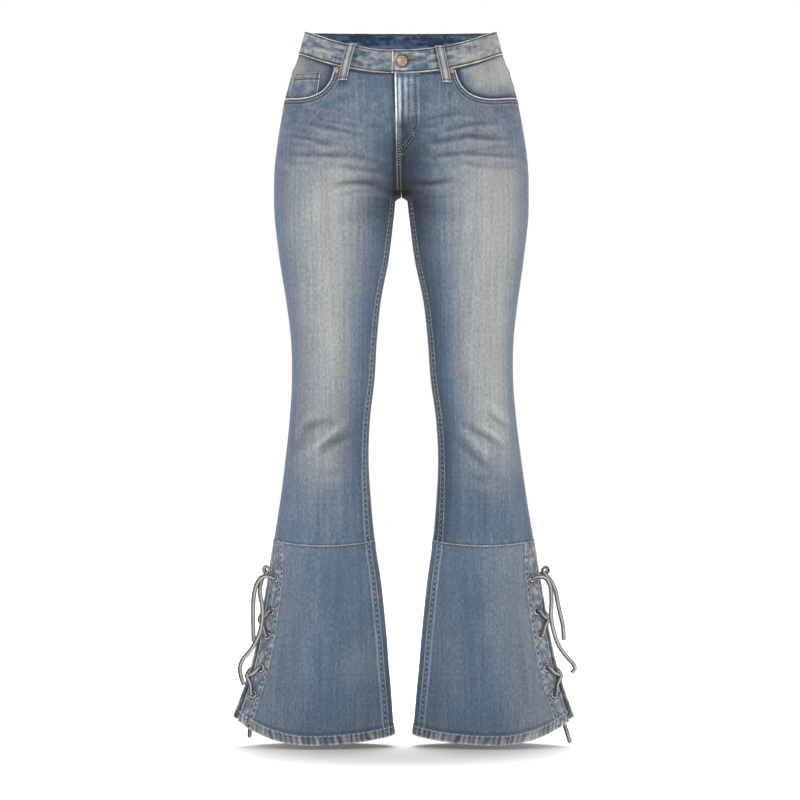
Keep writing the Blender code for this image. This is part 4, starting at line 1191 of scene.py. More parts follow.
def mouthCutter(side):
    # a prism through the front above the curved pocket mouth
    outline = [tuple(p) for p in mouthLine(side)[::4]] + pocketMouth(side)[-1:]
    outline += [(outline[-1][0], 0.0), (outline[0][0], 0.0)]
    deselect()
    bpy.ops.mesh.primitive_circle_add(vertices=len(outline), radius=0.01, fill_type="NGON")
    made = bpy.context.object
    for vertex, (x, z) in zip(made.data.vertices, outline):
        vertex.co = Vector((x, pockets["cutFrom"], z)) * mm
    move = {"value": (0.0, pockets["cutDepth"] * mm, 0.0)}
    editAll(
        (bpy.ops.mesh.extrude_region_move, {"TRANSFORM_OT_translate": move}),
        (bpy.ops.mesh.normals_make_consistent, {"inside": False}))
    return made


def inseamShape(cloth, centre, where, seed, middle, width):
    # felled, a little way in from the silhouette, and shaded on its inner side
    away = cloth.end - centre[:, None]
    gap = np.where(where, np.abs(away), 99.0)
    cloth.lift += 0.5 * (1 - soft((gap - 6.2) / 1.6))
    cloth.wear += (0.26 + 0.12 * uneven(cloth.z, 9.0, seed)) * hump(gap, middle, width)
    cloth.tone *= 1 - 0.14 * hump(gap, 9.0, 2.0) - 0.16 * (where & (away < -6.5))


def sideShape(cloth, seed, worn, waved):
    # pressed open: a worn line beside a soft groove, with painted shade in the groove and uneven painted
    # light and shade beside it
    start = cloth.start
    pucker = uneven(cloth.z, 7.0, seed)
    cloth.lift -= 0.35 * hump(start, 0.0, 1.2)
    cloth.wear += (worn + 0.12 * pucker) * hump(start, 1.8, 1.8)
    cloth.tone *= 1 - 0.25 * hump(start, 0.0, 1.1) - waved * pucker * hump(start, 4.0, 6.0)


def crossShape(cloth, seed, waved):
    # the flare's lap lies below this edge: painted shade along it and in the dips of its puckers, the raised
    # puckers paler
    low = cloth.low
    pucker = uneven(cloth.start, 8.0, seed)
    cloth.lift += 0.35 * pucker * hump(low, 0.0, 9.0)
    cloth.tone *= 1 - 0.30 * hump(low, 0.0, 1.3) - waved * held(-pucker) * hump(low, 3.0, 9.0)
    cloth.fade += 0.14 * held(pucker) * hump(low, 3.0, 9.0)


def makeFrontPanel(leg, side):
    high, low = -cut["bandHeight"], cut["crossSeam"]
    cloth = panelGrid(
        side, True, lambda s, turn: upperHeight(high + (low - high) * s, turn),
        panels["rows"], panels["columns"])
    washAndShade(cloth, True)
    addCreases(cloth, "front")
    drawIn(cloth)
    x, z = cloth.x, cloth.z
    onLeg = z < cut["crotch"] - 10
    centre = inFromEdge(cloth, np.interp(-z[:, -1], (240, 300, 640, 761), (5.0, 5.5, 6.5, 10.5)))
    inseamShape(cloth, centre, onLeg, 200 + side, 5.4, 1.5)
    if side < 0:  # shade beside the fly's edge, on the half that it laps over
        cloth.tone *= 1 - (0.72 * hump(x, -10.8, 2.4) + 0.16 * hump(x, -17.0, 6.0)) * ~onLeg
    sideShape(cloth, 220 + side, 0.16, 0.06)
    crossShape(cloth, 230 + side, 0.10)
    # painted shadow under the waistband
    cloth.tone *= 1 - 0.85 * hump(cloth.top, 0.0, 2.8)
    mouth = mouthLine(side)
    away, along = np.full(z.shape, 99.0), np.zeros(z.shape)
    upper = z > pockets["cutFrom"]
    away[upper], along[upper] = nearLine(x[upper], z[upper], mouth)
    lap(cloth, away, along * 0.9, 240 + side, wide=9.2, rise=0.55, rough=0.3, pale=0.22)
    # painted shade in the channels beside the pocket mouth's stitching, with worn paler cloth between
    cloth.tone *= 1 - 0.50 * hump(away, 2.4, 1.3) - 0.44 * hump(away, 6.9, 1.6)
    cloth.fade += 0.30 * hump(away, 4.6, 1.6) + 0.22 * hump(away, 9.6, 1.6)
    for _, loopX in loopSpans:  # shaded under and beside the belt loops
        cloth.tone *= 1 - 0.50 * hump(x, loopX, 8.0) * hump(z, -84.0, 6.0)
    piece = clothPiece(f"frontPanel{leg}", cloth, "denim", cutter=mouthCutter(side))
    asSheet(piece, cloth, f"front_panel_{leg.lower()}")
    felled(piece, cloth, centre, 5.4, below=cut["crotch"] - 12)
    sewMouth(leg, side, piece, mouth)


def sewMouth(leg, side, piece, mouth):
    # rolled edge, and two rows of stitches below it, each beside a channel of dark marks that are painted
    # shade
    x, z = mouth.T
    top = waistRise(turnAt(z, np.abs(x), True)) - cut["bandHeight"]
    inside = (np.abs(x) < sectionAt(z)[0] - 0.5) & (z < top - 0.5)
    rolled = evenly(onFront(mouth[inside], 0.1), 2.0)
    worn = {"fade": 1.0, "tone": 1.0, "wear": 0.85}
    edge = tube(f"mouthEdge{leg}", [Vector(p) for p in rolled], 1.9, 1.9, outerDenim, rings=8, fields=worn)
    finishPiece(edge, "denim")
    inward = np.stack([np.gradient(z), -np.gradient(x)], 1)
    inward *= side / np.linalg.norm(inward, axis=1, keepdims=True)
    for distance in pockets["rows"] + pockets["channels"]:
        line = mouth + inward * distance
        line = onFront(line[inside & (np.abs(line[:, 0]) < sectionAt(line[:, 1])[0] - 1.0)], 2.0)
        if distance in pockets["channels"]:
            thick = 0.7 if distance < 4 else 1.05
            shadeMarks.row(piece, line, pitch=4.4, length=3.6, thick=thick, marks=False)
        else:
            blueSeams.row(piece, line, pitch=4.0, length=2.6, thick=1.2)


def yokeLow(turn):
    return upperHeight(-cut["bandHeight"], turn) - (28.0 + 34.0 * np.abs(np.sin(np.radians(turn))))


def backHeight(nominal, turn):
    push = yokeLow(turn) - upperHeight(panels["backTop"], turn)
    return upperHeight(nominal, turn) + push * held((nominal + 200.0) / 110.0)


def makeBackPanel(leg, side):
    high, low = panels["backTop"], cut["crossSeam"]
    cloth = panelGrid(
        side, False, lambda s, turn: backHeight(high + (low - high) * s, turn),
        panels["backRows"], panels["backColumns"])
    washAndShade(cloth, False)
    addCreases(cloth, "back")
    drawIn(cloth, borders=("top", "low", "start"))
    # painted shade at the inseam's under side, and the seat seam with one half lapped over
    z = cloth.z
    cloth.tone *= 1 - 0.28 * (z < cut["crotch"]) * hump(cloth.end, 0.0, 1.8)
    if side > 0:
        lap(cloth, np.where(z > cut["crotch"] + 4, cloth.end, 99.0), z, 310, wide=9.5, rise=0.6, pale=0.35)
    sideShape(cloth, 220 + side, 0.15, 0.0)
    crossShape(cloth, 330 + side, 0.0)
    # painted shadow under the yoke's edge
    cloth.tone *= 1 - 0.25 * hump(cloth.top, 0.0, 1.8)
    piece = clothPiece(f"backPanel{leg}", cloth, "denim")
    asSheet(piece, cloth, f"back_panel_{leg.lower()}")
    if side > 0:
        for distance in (1.8, 7.4):
            line = seamLine(cloth, "end", distance)
            tanSeams.row(piece, line[line[:, 2] > cut["crotch"] + 6])


def makeYoke(leg, side):
    def heightAt(s, turn):
        top = upperHeight(-cut["bandHeight"], turn)
        return top + (yokeLow(turn) - top) * s

    cloth = panelGrid(side, False, heightAt, panels["yokeRows"], panels["backColumns"])
    washAndShade(cloth, False)
    drawIn(cloth, borders=("top", "low", "start"))
    lap(cloth, cloth.low, cloth.start, 340 + side, wide=10.0, rise=0.6)
    if side > 0:
        lap(cloth, cloth.end, cloth.z, 345, wide=9.5, rise=0.6, pale=0.35)
    # painted shadow under the waistband
    cloth.tone *= 1 - 0.30 * hump(cloth.top, 0.0, 2.2)
    piece = clothPiece(f"yoke{leg}", cloth, "denim")
    asSheet(piece, cloth, f"yoke_{leg.lower()}")
    for distance in (1.8, 7.6):
        tanSeams.row(piece, seamLine(cloth, "low", distance))
        if side > 0:
            tanSeams.row(piece, seamLine(cloth, "end", distance))


stage("front and back panels")
for leg, side in legs.items():
    makeFrontPanel(leg, side)
for leg, side in legs.items():
    makeBackPanel(leg, side)
    makeYoke(leg, side)


# flares, hems and vent bands

flare = {
    "columns": 104, "rows": 106, "rowsInHem": 12, "bandColumns": 14, "bandRows": 120, "bandInHem": 8,
    "bandThick": 2.4, "turnUp": 1.1, "inHem": 1 - cut["hemDepth"] / (cut["crossSeam"] - cut["hem"]),
    "hemStitch": {"pitch": 7.4, "length": 6.4, "thick": 1.35, "marks": False},
}


def sharesDown(rows, inHem):
    # shares of the way down a flare, with a number of the rows in its hem
    upper = np.linspace(0, flare["inHem"], rows - inHem)
    return np.concatenate([upper, np.linspace(flare["inHem"], 1, inHem + 1)[1:]])


def flareCloth(side, front, t):
    # from the vent band to the inseam
    edge = walk(side, t, lacing["bandWidth"], front)
    limit = cut["inseam"] - (0.0 if front else 360.0)
    turn = edge + (limit - edge) * np.linspace(0.0, 1.0, flare["columns"] + 1)
    return layOut(side, turn, flareHeight(t[:, None], turn))


def hemRoll(cloth, along, seed):
    # doubled hem with slanting roping, its ridges worn paler and painted shade in its dips; painted shade
    # lines run along the hem's upper edge and below its stitches
    low, hem = cloth.low, cut["hemDepth"]
    shift = along + low * 0.5 + 4.5 * uneven(along, 15.0, seed)
    slant = 0.75 * np.sin(shift * 2 * math.pi / 8.6) + 0.8 * uneven(shift, 4.6, seed + 1)
    inHem = 1 - soft((low - hem + 2.6) / 1.8)
    cloth.lift += 0.8 * (1 - soft((low - hem) / 1.8)) + 0.45 * slant * hump(low, 6.0, 8.0)
    cloth.fade += (0.22 + 0.80 * held(slant)) * inHem
    cloth.wear += 0.26 * held(slant) ** 2 * inHem
    cloth.wear += (0.70 + 0.3 * uneven(along, 8.0, seed + 2)) * hump(low, 0.4, 1.7)
    cloth.tone *= 1 - 0.54 * held(-slant) * inHem
    cloth.tone *= 1 - 0.42 * hump(low, hem + 2.0, 1.5) - 0.30 * hump(low, hem - 4.6, 1.0)


def flareTone(cloth, front, seed):
    x, z, right = cloth.x, cloth.z, cloth.side > 0
    cloth.fade += 0.03 + 0.05 * blotch(x + 500, z + 1300, 40, 60, seed)
    cloth.tone *= 1 + 0.04 * blotch(x + 500, z + 1300, 14, 20, seed + 1)
    if front:
        share = x * cloth.side / sectionAt(z)[0]
        cloth.fade += np.where(right, 0.26, 0.12) * soft((share - 0.5) / 0.3)
        cloth.fade += ~right * 0.06 * (1 - soft((share - 0.2) / 0.2))


# the flares' long folds, as the creases: line of x and z, depth, half width, how dark (painted shade in the
# fold), how pale
flareFolds = {
    "front": (
        (((-150, -790), (-158, -880), (-178, -980), (-190, -1040)), 1.5, 15.0, 0.07, 0.03),
        (((-96, -800), (-92, -900), (-98, -1010)), 1.3, 16.0, 0.06, 0.03),
        (((-60, -830), (-50, -930), (-44, -1040)), 1.2, 13.0, 0.06, 0.02),
        (((152, -790), (164, -880), (184, -985), (196, -1040)), 1.5, 15.0, 0.07, 0.03),
        (((104, -806), (98, -905), (106, -1015)), 1.3, 16.0, 0.06, 0.03),
        (((66, -826), (56, -935), (50, -1042)), 1.2, 13.0, 0.06, 0.02),
    ),
    "back": (
        (((-148, -786), (-160, -884), (-176, -1000)), 1.8, 16.0, 0.07, 0.03),
        (((-104, -796), (-96, -905), (-102, -1030)), 1.6, 17.0, 0.07, 0.03),
        (((-64, -820), (-52, -940), (-48, -1040)), 1.2, 13.0, 0.05, 0.02),
        (((152, -788), (166, -888), (182, -1005)), 1.8, 16.0, 0.07, 0.03),
        (((110, -800), (104, -900), (112, -1026)), 1.6, 17.0, 0.07, 0.03),
        (((68, -818), (58, -940), (54, -1040)), 1.2, 13.0, 0.05, 0.02),
    ),
}


def makeFlare(leg, side, face, seed):
    front = face == "front"
    cloth = flareCloth(side, front, sharesDown(flare["rows"], flare["rowsInHem"]))
    flareTone(cloth, front, seed)
    for k, (line, depth, wide, dark, pale) in enumerate(flareFolds[face]):
        crease(cloth, line, depth, wide, dark * 1.7, pale * 2.0, 80 + k)
    drawIn(cloth)
    z, start, top = cloth.z, cloth.start, cloth.top
    # cross seam lap at the top, with painted shade below its edge and painted light and shade on its puckers
    pucker = uneven(start, 6.5, seed)
    cloth.lift += 0.55 * (1 - soft((top - 9.0) / 1.6)) + 0.3 * pucker * hump(top, 5.0, 7.0)
    cloth.wear += (0.34 + 0.2 * pucker) * hump(top, 0.6, 1.2)
    cloth.tone *= 1 - 0.50 * hump(top, 3.6, 1.2) + 0.12 * pucker * hump(top, 9.0, 5.0)
    if front:
        centre = inFromEdge(cloth, np.interp(-z[:, -1], (760, 860), (10.5, 11.5)))
        inseamShape(cloth, centre, True, seed + 4, 5.6, 1.4)
    else:
        # painted shade at the inseam's edge
        cloth.tone *= 1 - 0.28 * hump(cloth.end, 0.0, 1.8)
    # the vent band is stitched on over this edge: painted shadow beside it, the puckers raised and paler
    pucker = uneven(z, 6.0, seed + 6)
    cloth.tone *= 1 - 0.22 * hump(start, 0.0, 2.2)
    cloth.lift += 0.3 * pucker * hump(start, 2.0, 7.0)
    cloth.fade += 0.12 * held(pucker) * hump(start, 3.0, 6.0)
    hemRoll(cloth, start, seed + 8)
    piece = clothPiece(f"flare{face.title()}{leg}", cloth, "denim")
    # the hem's turned-up edge inside
    inner = flareCloth(side, front, np.linspace(flare["inHem"] + 0.002, 0.9985, 9))
    drawIn(inner, 1.0)
    inner.lift += 0.25 * uneven(inner.start, 8.0, seed + 9) - cut["cloth"] - 0.05
    inner.fade += 0.1
    hem = clothPiece(f"hem{face.title()}{leg}", inner, "denim", flare["turnUp"], innerDenim, edge=0.2)
    asSheet(piece, cloth, f"flare_{face}_{leg.lower()}")
    hemSeams.row(piece, seamLine(cloth, "low", 13.4), **flare["hemStitch"])
    hemSeams.row(piece, seamLine(cloth, "top", 1.6), pitch=5.2, length=4.4, thick=0.9, marks=False)
    if front:
        felled(piece, cloth, centre, 5.4)


def makeVentBand(leg, side, face, seed):
    front = face == "front"
    t = sharesDown(flare["bandRows"], flare["bandInHem"])
    turn = walk(side, t, np.linspace(0.0, lacing["bandWidth"], flare["bandColumns"] + 1), front)
    cloth = layOut(side, turn, flareHeight(t[:, None], turn))
    flareTone(cloth, front, seed)
    drawIn(cloth)
    z, start, end = cloth.z, cloth.start, cloth.end
    pucker = uneven(z, 6.5, seed + 11)
    cloth.lift += 0.35 + 0.3 * pucker * hump(start, 2.0, 6.0)
    cloth.lift += 0.3 * uneven(z, 6.0, seed + 12) * hump(end, 3.0, 6.0)
    cloth.wear += (0.42 + 0.3 * pucker) * hump(start, 0.3, 1.6)
    cloth.wear += (0.26 + 0.2 * uneven(z, 7.0, seed + 13)) * hump(end, 0.4, 1.1)
    # painted shade beside the seams on both edges
    cloth.tone *= 1 - 0.30 * hump(end, 9.4, 1.6) - 0.30 * hump(start, 4.2, 1.5)
    cloth.fade += 0.16 * held(pucker) * hump(start, 3.0, 7.0) + 0.05
    spots = blotch(start, z + 1300, 4.0, 5.0, seed + 15)
    bars = uneven(start, 2.6, seed + 17) * hump(cloth.top, 9.0, 8.0)
    cloth.fade += 0.40 * held(spots) + 0.7 * held(bars)
    cloth.tone *= (1 + 0.42 * spots) * (1 - 0.55 * held(-bars))
    lap(cloth, cloth.top, start, seed + 14, wide=8.0, rise=0.3, rough=0.2, pale=0.4, dark=0.12)
    hemRoll(cloth, start + 300, seed + 16)
    cloth.lift -= 0.35 * (1 - soft(cloth.low / 4))
    for share in lacing["steps"]:  # cloth drawn in a little round each eyelet, with a ring of painted shadow round it and a paler ring beyond
        away = np.linalg.norm(cloth.points - np.array(eyeletPlace(side, share, front)[0]), axis=2)
        cloth.lift *= soft((away - 5.5) / 3.0)
        cloth.tone *= 1 - 0.55 * hump(away, 6.4, 1.5)
        cloth.fade += 0.10 * hump(away, 9.0, 2.0)
    name = f"ventBand{face.title()}{leg}"
    piece = clothPiece(name, cloth, "denim_trim", flare["bandThick"], cutter=eyeletCutter(side, front))
    asSheet(piece, cloth, f"vent_band_{face}_{leg.lower()}")
    felled(piece, cloth, 4.0, 3.2)
    blueSeams.row(piece, seamLine(cloth, "start", 2.6), thick=1.1)
    hemSeams.row(piece, seamLine(cloth, "low", 13.4), **flare["hemStitch"])
    for distance in (1.8, 6.4):
        tanSeams.row(piece, seamLine(cloth, "top", distance), pitch=2.4, length=2.0, thick=1.1)


def joined(pieces):
    deselect()
    for piece in pieces:
        piece.select_set(True)
    bpy.ops.object.join()
    return bpy.context.object


def eyeletCutter(side, front):
    rods = []
    for share in lacing["steps"]:
        middle, normal = eyeletPlace(side, share, front)
        turned = normal.to_track_quat("Z", "Y").to_euler()
        bpy.ops.mesh.primitive_cylinder_add(
            vertices=20, radius=0.0036, depth=0.02, location=tuple(middle * mm), rotation=turned)
        rods.append(bpy.context.object)
    return joined(rods)


stage("flares, hems and vent bands")
for leg, side in legs.items():
    for face, first in (("front", 410), ("back", 420)):
        makeFlare(leg, side, face, first + side * 3)
        makeVentBand(leg, side, face, first + side * 3)


# metal: eyelets, button, rivets

metalwork = {  # profiles of radius and height, and places on the front
    "eyelet": (  # rolled flange in front, barrel, clenched flange behind
        (2.85, 0.75), (3.2, 1.2), (3.9, 1.5), (4.8, 1.42), (5.7, 1.0), (6.05, 0.5), (5.8, 0.36), (3.5, 0.36),
        (3.45, -2.75), (4.9, -2.78), (4.8, -3.1), (3.9, -3.55), (3.1, -3.5), (2.8, -3.1), (2.75, -1.2)),
    "button": (
        (0.0, 3.75), (2.0, 3.7), (4.6, 3.45), (5.7, 3.25), (6.1, 3.0), (6.5, 3.35), (7.3, 3.6),
        (7.95, 3.3), (8.25, 2.6), (8.1, 1.9), (7.5, 1.4), (4.4, 1.2), (4.4, 0.5), (0.0, 0.5)),
    "rivet": (
        (0.0, 2.0), (1.3, 1.95), (1.7, 1.5), (2.3, 1.45), (2.9, 1.75), (3.7, 1.6), (4.3, 1.1),
        (4.4, 0.7), (4.1, 0.45), (0.0, 0.45)),
    "buttonAt": (1.3, -54.5), "rivetsAt": {"Left": (-94.5, -66.0), "Right": (74.8, -67.0)},
}


def turnedPiece(name, kind, steps, place, material, slot, node):
    # a profile spun round its axis, then set on the cloth
    profile = metalwork[kind]
    point, normal = (Vector(part) for part in place)
    deselect()
    bpy.ops.mesh.primitive_circle_add(vertices=len(profile), radius=0.001)
    piece = bpy.context.object
    piece.name = piece.data.name = name
    for vertex, (radius, height) in zip(piece.data.vertices, profile):
        vertex.co = (radius * mm, 0.0, height * mm)
    whole = {"steps": steps, "angle": 2 * math.pi, "center": (0.0, 0.0, 0.0), "axis": (0.0, 0.0, 1.0)}
    editAll(
        (bpy.ops.mesh.spin, whole), (bpy.ops.mesh.remove_doubles, {"threshold": 0.000005}),
        (bpy.ops.mesh.normals_make_consistent, {"inside": False}))
    bpy.ops.object.shade_smooth_by_angle(angle=math.radians(38.0))
    facing = normal.to_track_quat("Z", "Y").to_matrix().to_4x4()
    piece.data.transform(Matrix.Translation(point * mm) @ facing)
    piece.data.materials.append(material)
    finishPiece(piece, slot, node)


stage("eyelets")
for leg, side in legs.items():
    for face in ("front", "back"):
        for number, share in enumerate(lacing["steps"], 1):
            turnedPiece(
                f"eyelet{face.title()}{leg}{number}", "eyelet", 28, eyeletPlace(side, share, face == "front"),
                oldSilver, "old_metal", f"eyelet_{face}_{leg.lower()}_{number}")


# waistband and belt loops

band = {
    "columns": 440, "rows": 40, "thick": 2.4, "overX": -12.0, "underX": 24.0,
    "tuckFrom": 0.90, "tuckRun": 0.04,  # shares of the way round where the end goes under
    "fadeLeft": ((0, 22, 45, 78, 106, 138), (0.56, 0.64, 0.70, 0.36, 0.40, 0.50)),
    "fadeRight": ((0, 14, 45, 75, 104, 138), (0.44, 0.40, 0.50, 0.76, 0.98, 0.96)),
    "fadeBack": ((70, 138), (0.42, 0.95)),
    "holeAt": (8.5, -53.4), "holeLong": 16.0, "holeRise": 0.8,
    "hole": ((0.0, 3.6), (0.4, 2.5), (0.8, 1.3), (1.0, 0.0), (0.8, -1.3), (0.4, -2.5), (0.0, -3.6)),
}


def waistGrid():
    # from the end on top, round the waist, to the end that is tucked under
    half = float(sectionAt(0.0)[0])
    over, under = (math.degrees(math.acos(band[k] / half)) for k in ("overX", "underX"))
    share = np.linspace(0.0, 1.0, band["columns"] + 1)
    angle = (over - (360.0 + over - under) * share) % 360.0
    side = np.where((angle <= 90.0) | (angle > 270.0), 1, -1)
    turn = np.where(side > 0, angle, (180.0 - angle) % 360.0)
    c, n = np.cos(np.radians(turn)), np.sin(np.radians(turn))
    z = waistRise(turn) - cut["bandHeight"] * np.linspace(0.0, 1.0, band["rows"] + 1)[:, None]
    local = turnAt(z, np.abs(c) * sectionAt(z)[0], n > 0)
    cloth = layOut(side, np.where(np.abs(n) < 0.02, turn, local), z)
    cloth.u = cloth.start.copy()
    drawIn(cloth)
    cloth.lift += 0.55 - (band["thick"] + 0.75) * soft((share - band["tuckFrom"]) / band["tuckRun"])
    return cloth, n > 0


def makeWaistband():
    cloth, front = waistGrid()
    start, top, low, x, z = cloth.start, cloth.top, cloth.low, cloth.x, cloth.z
    along = start[band["rows"] // 2]
    pucker = uneven(along, 7.0, 501) * 0.6 + uneven(along, 3.6, 502) * 0.4
    cloth.lift += 0.30 * pucker * (hump(top, 3.0, 4.0) + hump(low, 3.0, 4.0))
    cloth.lift += 0.30 * blotch(along, top, 19.0, 11.0, 503)
    # a stitched channel inside each edge, darkened as painted shade, the edges worn pale
    for distance, middle, much in ((top, 2.4, 0.82), (low, 2.9, 0.84), (start, 3.3, 0.80)):
        cloth.lift -= 0.28 * hump(distance, middle, 0.9)
        cloth.tone *= 1 - much * hump(distance, middle, 0.85)
    ends = np.where(x < 0, np.interp(-x, *band["fadeLeft"]), np.interp(x, *band["fadeRight"]))
    cloth.fade += np.where(front, ends, np.interp(np.abs(x), *band["fadeBack"]))
    streaks = blotch(along, top, 21.0, 4.2, 504) + blotch(along, top, 6.0, 5.0, 507) * 0.55
    cloth.fade += 0.76 * streaks + 0.12 * pucker - 0.24 * hump(top, 16.0, 6.0)
    roping = np.clip(uneven(along, 3.6, 508) + 0.25, -0.4, 1)
    cloth.fade += 0.75 * roping * hump(low, 8.0, 4.0) + 0.44 * roping * hump(top, 6.5, 3.0)
    dark = 0.34 * held(-roping) * hump(low, 7.0, 4.0)
    cloth.tone *= 1 + 0.30 * blotch(along, top, 13.0, 4.0, 509) - dark
    # painted shadow beside each front belt loop
    for topX, lowX in loopSpans:
        off = np.abs(x - (topX + (lowX - topX) * 0.5 * top / cut["bandHeight"]))
        cloth.tone *= 1 - front * 0.58 * hump(off, 7.4, 2.0)
    cloth.wear += (0.90 + 0.25 * pucker) * (1 - soft((top - 0.5) / 0.9))
    cloth.wear += (0.90 + 0.3 * uneven(start, 6.0, 505)) * (1 - soft((low - 0.6) / 0.9))
    cloth.wear += 0.85 * (1 - soft((start - 1.7) / 1.0))
    # the cloth is worn pale round the button, with a ring of painted shadow close round it
    across, up = x - metalwork["buttonAt"][0], z - metalwork["buttonAt"][1]
    button = np.hypot(across, up)
    uneasy = 0.5 + 0.5 * uneven(np.degrees(np.arctan2(up, across)), 40.0, 506)
    cloth.wear += (front & (x < 6)) * 0.50 * hump(button, 11.5, 2.4) * uneasy
    cloth.tone *= 1 - front * 0.80 * hump(button, 8.6, 1.9)
    piece = clothPiece("waistStrip", cloth, "denim_trim", band["thick"], inside=shadedBandLining, edge=0.85)
    sewWaistband(piece, cloth)
    return piece, cloth


def sewWaistband(piece, cloth):
    # the channels' rows of dark marks are painted shade
    for key, distance in (("top", 2.3), ("low", 2.9), ("start", 3.3)):
        line = seamLine(cloth, key, distance)
        line = line[1:-1] if key == "start" else line[:-42]
        shadeMarks.row(piece, line, length=3.6, thick=0.95, marks=False)
    inside = seamLine(cloth, "top", 3.2, out=-5.0)[60:-60]
    tanSeams.row(piece, inside, marks=False)
    # keyhole buttonhole, bound with close stitches round a slit whose two lips are dark marks of painted
    # shade
    (x, z), long, rise = band["holeAt"], band["holeLong"], band["holeRise"]
    loop = onFront([(x + long * s, z + rise * s + w) for s, w in band["hole"]])
    spots, normals, along = settleOn(piece, evenly(loop, 0.62))
    rustSeams.put(spots, normals, np.cross(normals, along), 1.9, 0.68, 0.3)
    for height in (1.3, -1.3):
        lip = np.linspace((9.0, z + height), (21.0, z + 0.6 + 0.3 * height), 12)
        shadeMarks.put(*settleOn(piece, onFront(lip)), 2.0, 0.9, 0.05)


loops = {
    "width": 12.6, "length": 54.5, "thick": 1.8, "rows": 61, "columns": 15,
    "bow": ((0, 0.9), (0.07, 2.4), (0.2, 3.7), (0.45, 3.9), (0.7, 3.6), (0.86, 2.7), (0.95, 1.5), (1, 0.95)),
    "places": (  # x at the upper and lower end
        ("front_left", *loopSpans[0]), ("front_right", *loopSpans[1]), ("back_left", -92, -97),
        ("back_right", 92, 97), ("back_middle", 0.4, 0.4)),
}


def makeBeltLoop(number, place, topX, lowX):
    front = place.startswith("front")
    half = loops["width"] / 2
    share = np.linspace(0.0, 1.0, loops["rows"])[:, None]
    across = np.linspace(-half, half, loops["columns"])[None, :]
    x = topX + (lowX - topX) * share + across
    z = float(waistRise(turnAt(0.0, abs(topX), front))) - loops["length"] * share
    cloth = layOut(np.where(x >= 0, 1, -1), turnAt(z, np.abs(x), front), z)
    cloth.u = np.broadcast_to(across, x.shape)
    cloth.start, cloth.end = cloth.u + half, half - cloth.u
    off = np.abs(across)
    ridge = hump(off, 0.0, 2.6)
    cloth.lift += np.interp(share, *zip(*loops["bow"])) + loops["thick"] + 0.45 * ridge
    cloth.lift += 0.15 * uneven(z, 5.0, 600 + number) * hump(off, 5.0, 2.0) - 0.25 * hump(off, 4.3, 0.6)
    cloth.fade += 0.60 + 0.34 * ridge + 0.22 * uneven(z, 7.0, 610 + number)
    # painted shade in the stitched channels
    cloth.tone *= 1 - 0.56 * hump(off, 4.3, 0.7) - 0.10 * hump(off, 2.0, 1.2)
    cloth.wear += 0.62 * hump(off, 6.3, 0.9)
    cloth.wear += (0.26 + 0.2 * uneven(z, 6.0, 615 + number)) * hump(off, 0.0, 1.8)
    # worn pale at each end, with painted shade just inside it
    for end in (cloth.top, cloth.low):
        cloth.wear += 0.45 * hump(end, 0.0, 1.4)
        cloth.tone *= 1 - 0.60 * hump(end, 3.4, 1.2)
    name = "beltLoop" + place.title().replace("_", "")
    piece = clothPiece(name, cloth, "denim_trim", loops["thick"], inside=outerDenim, edge=0.5)
    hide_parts("belt_loop_" + place)
    # rows of dark marks in the channels: painted shade
    for distance in (2.0, loops["width"] - 2.0):
        line = seamLine(cloth, "start", distance)[2:-2]
        shadeMarks.row(piece, line, length=3.6, thick=0.8, marks=False)
    foot = seamLine(cloth, "low", 4.2)
    rustSeams.bar(piece, foot[len(foot) // 2], foot[-1] - foot[0], 9.5, wide=1.3)
    return piece


# fly: tables of height and x

fly = {
    "top": -72.3, "end": -238.5, "rows": 130, "columns": 29, "lift": 1.7, "cloth": 1.1,
    "edge": (
        (-72, 27), (-100, 27), (-126, 27.5), (-148, 27.5), (-160, 23.5), (-172, 17), (-182, 9.5),
        (-190, 3.5), (-238.5, 2.5)),
    "left": ((-72, -9.4), (-150, -8.2), (-200, -7.4), (-238.5, -6.8)),
    "stitches": (
        (-74, 22.4), (-100, 22.8), (-126, 23.6), (-147, 24.0), (-158, 20.8), (-169, 15.2), (-178, 8.0),
        (-184, 1.5), (-187, -3.5)),
    "worn": ((-72, 1.5), (-140, 1.3), (-180, 0.5), (-238, 0.4)),
    "rungs": 26, "rungStep": 3.7, "rungsFrom": -112.0,
}


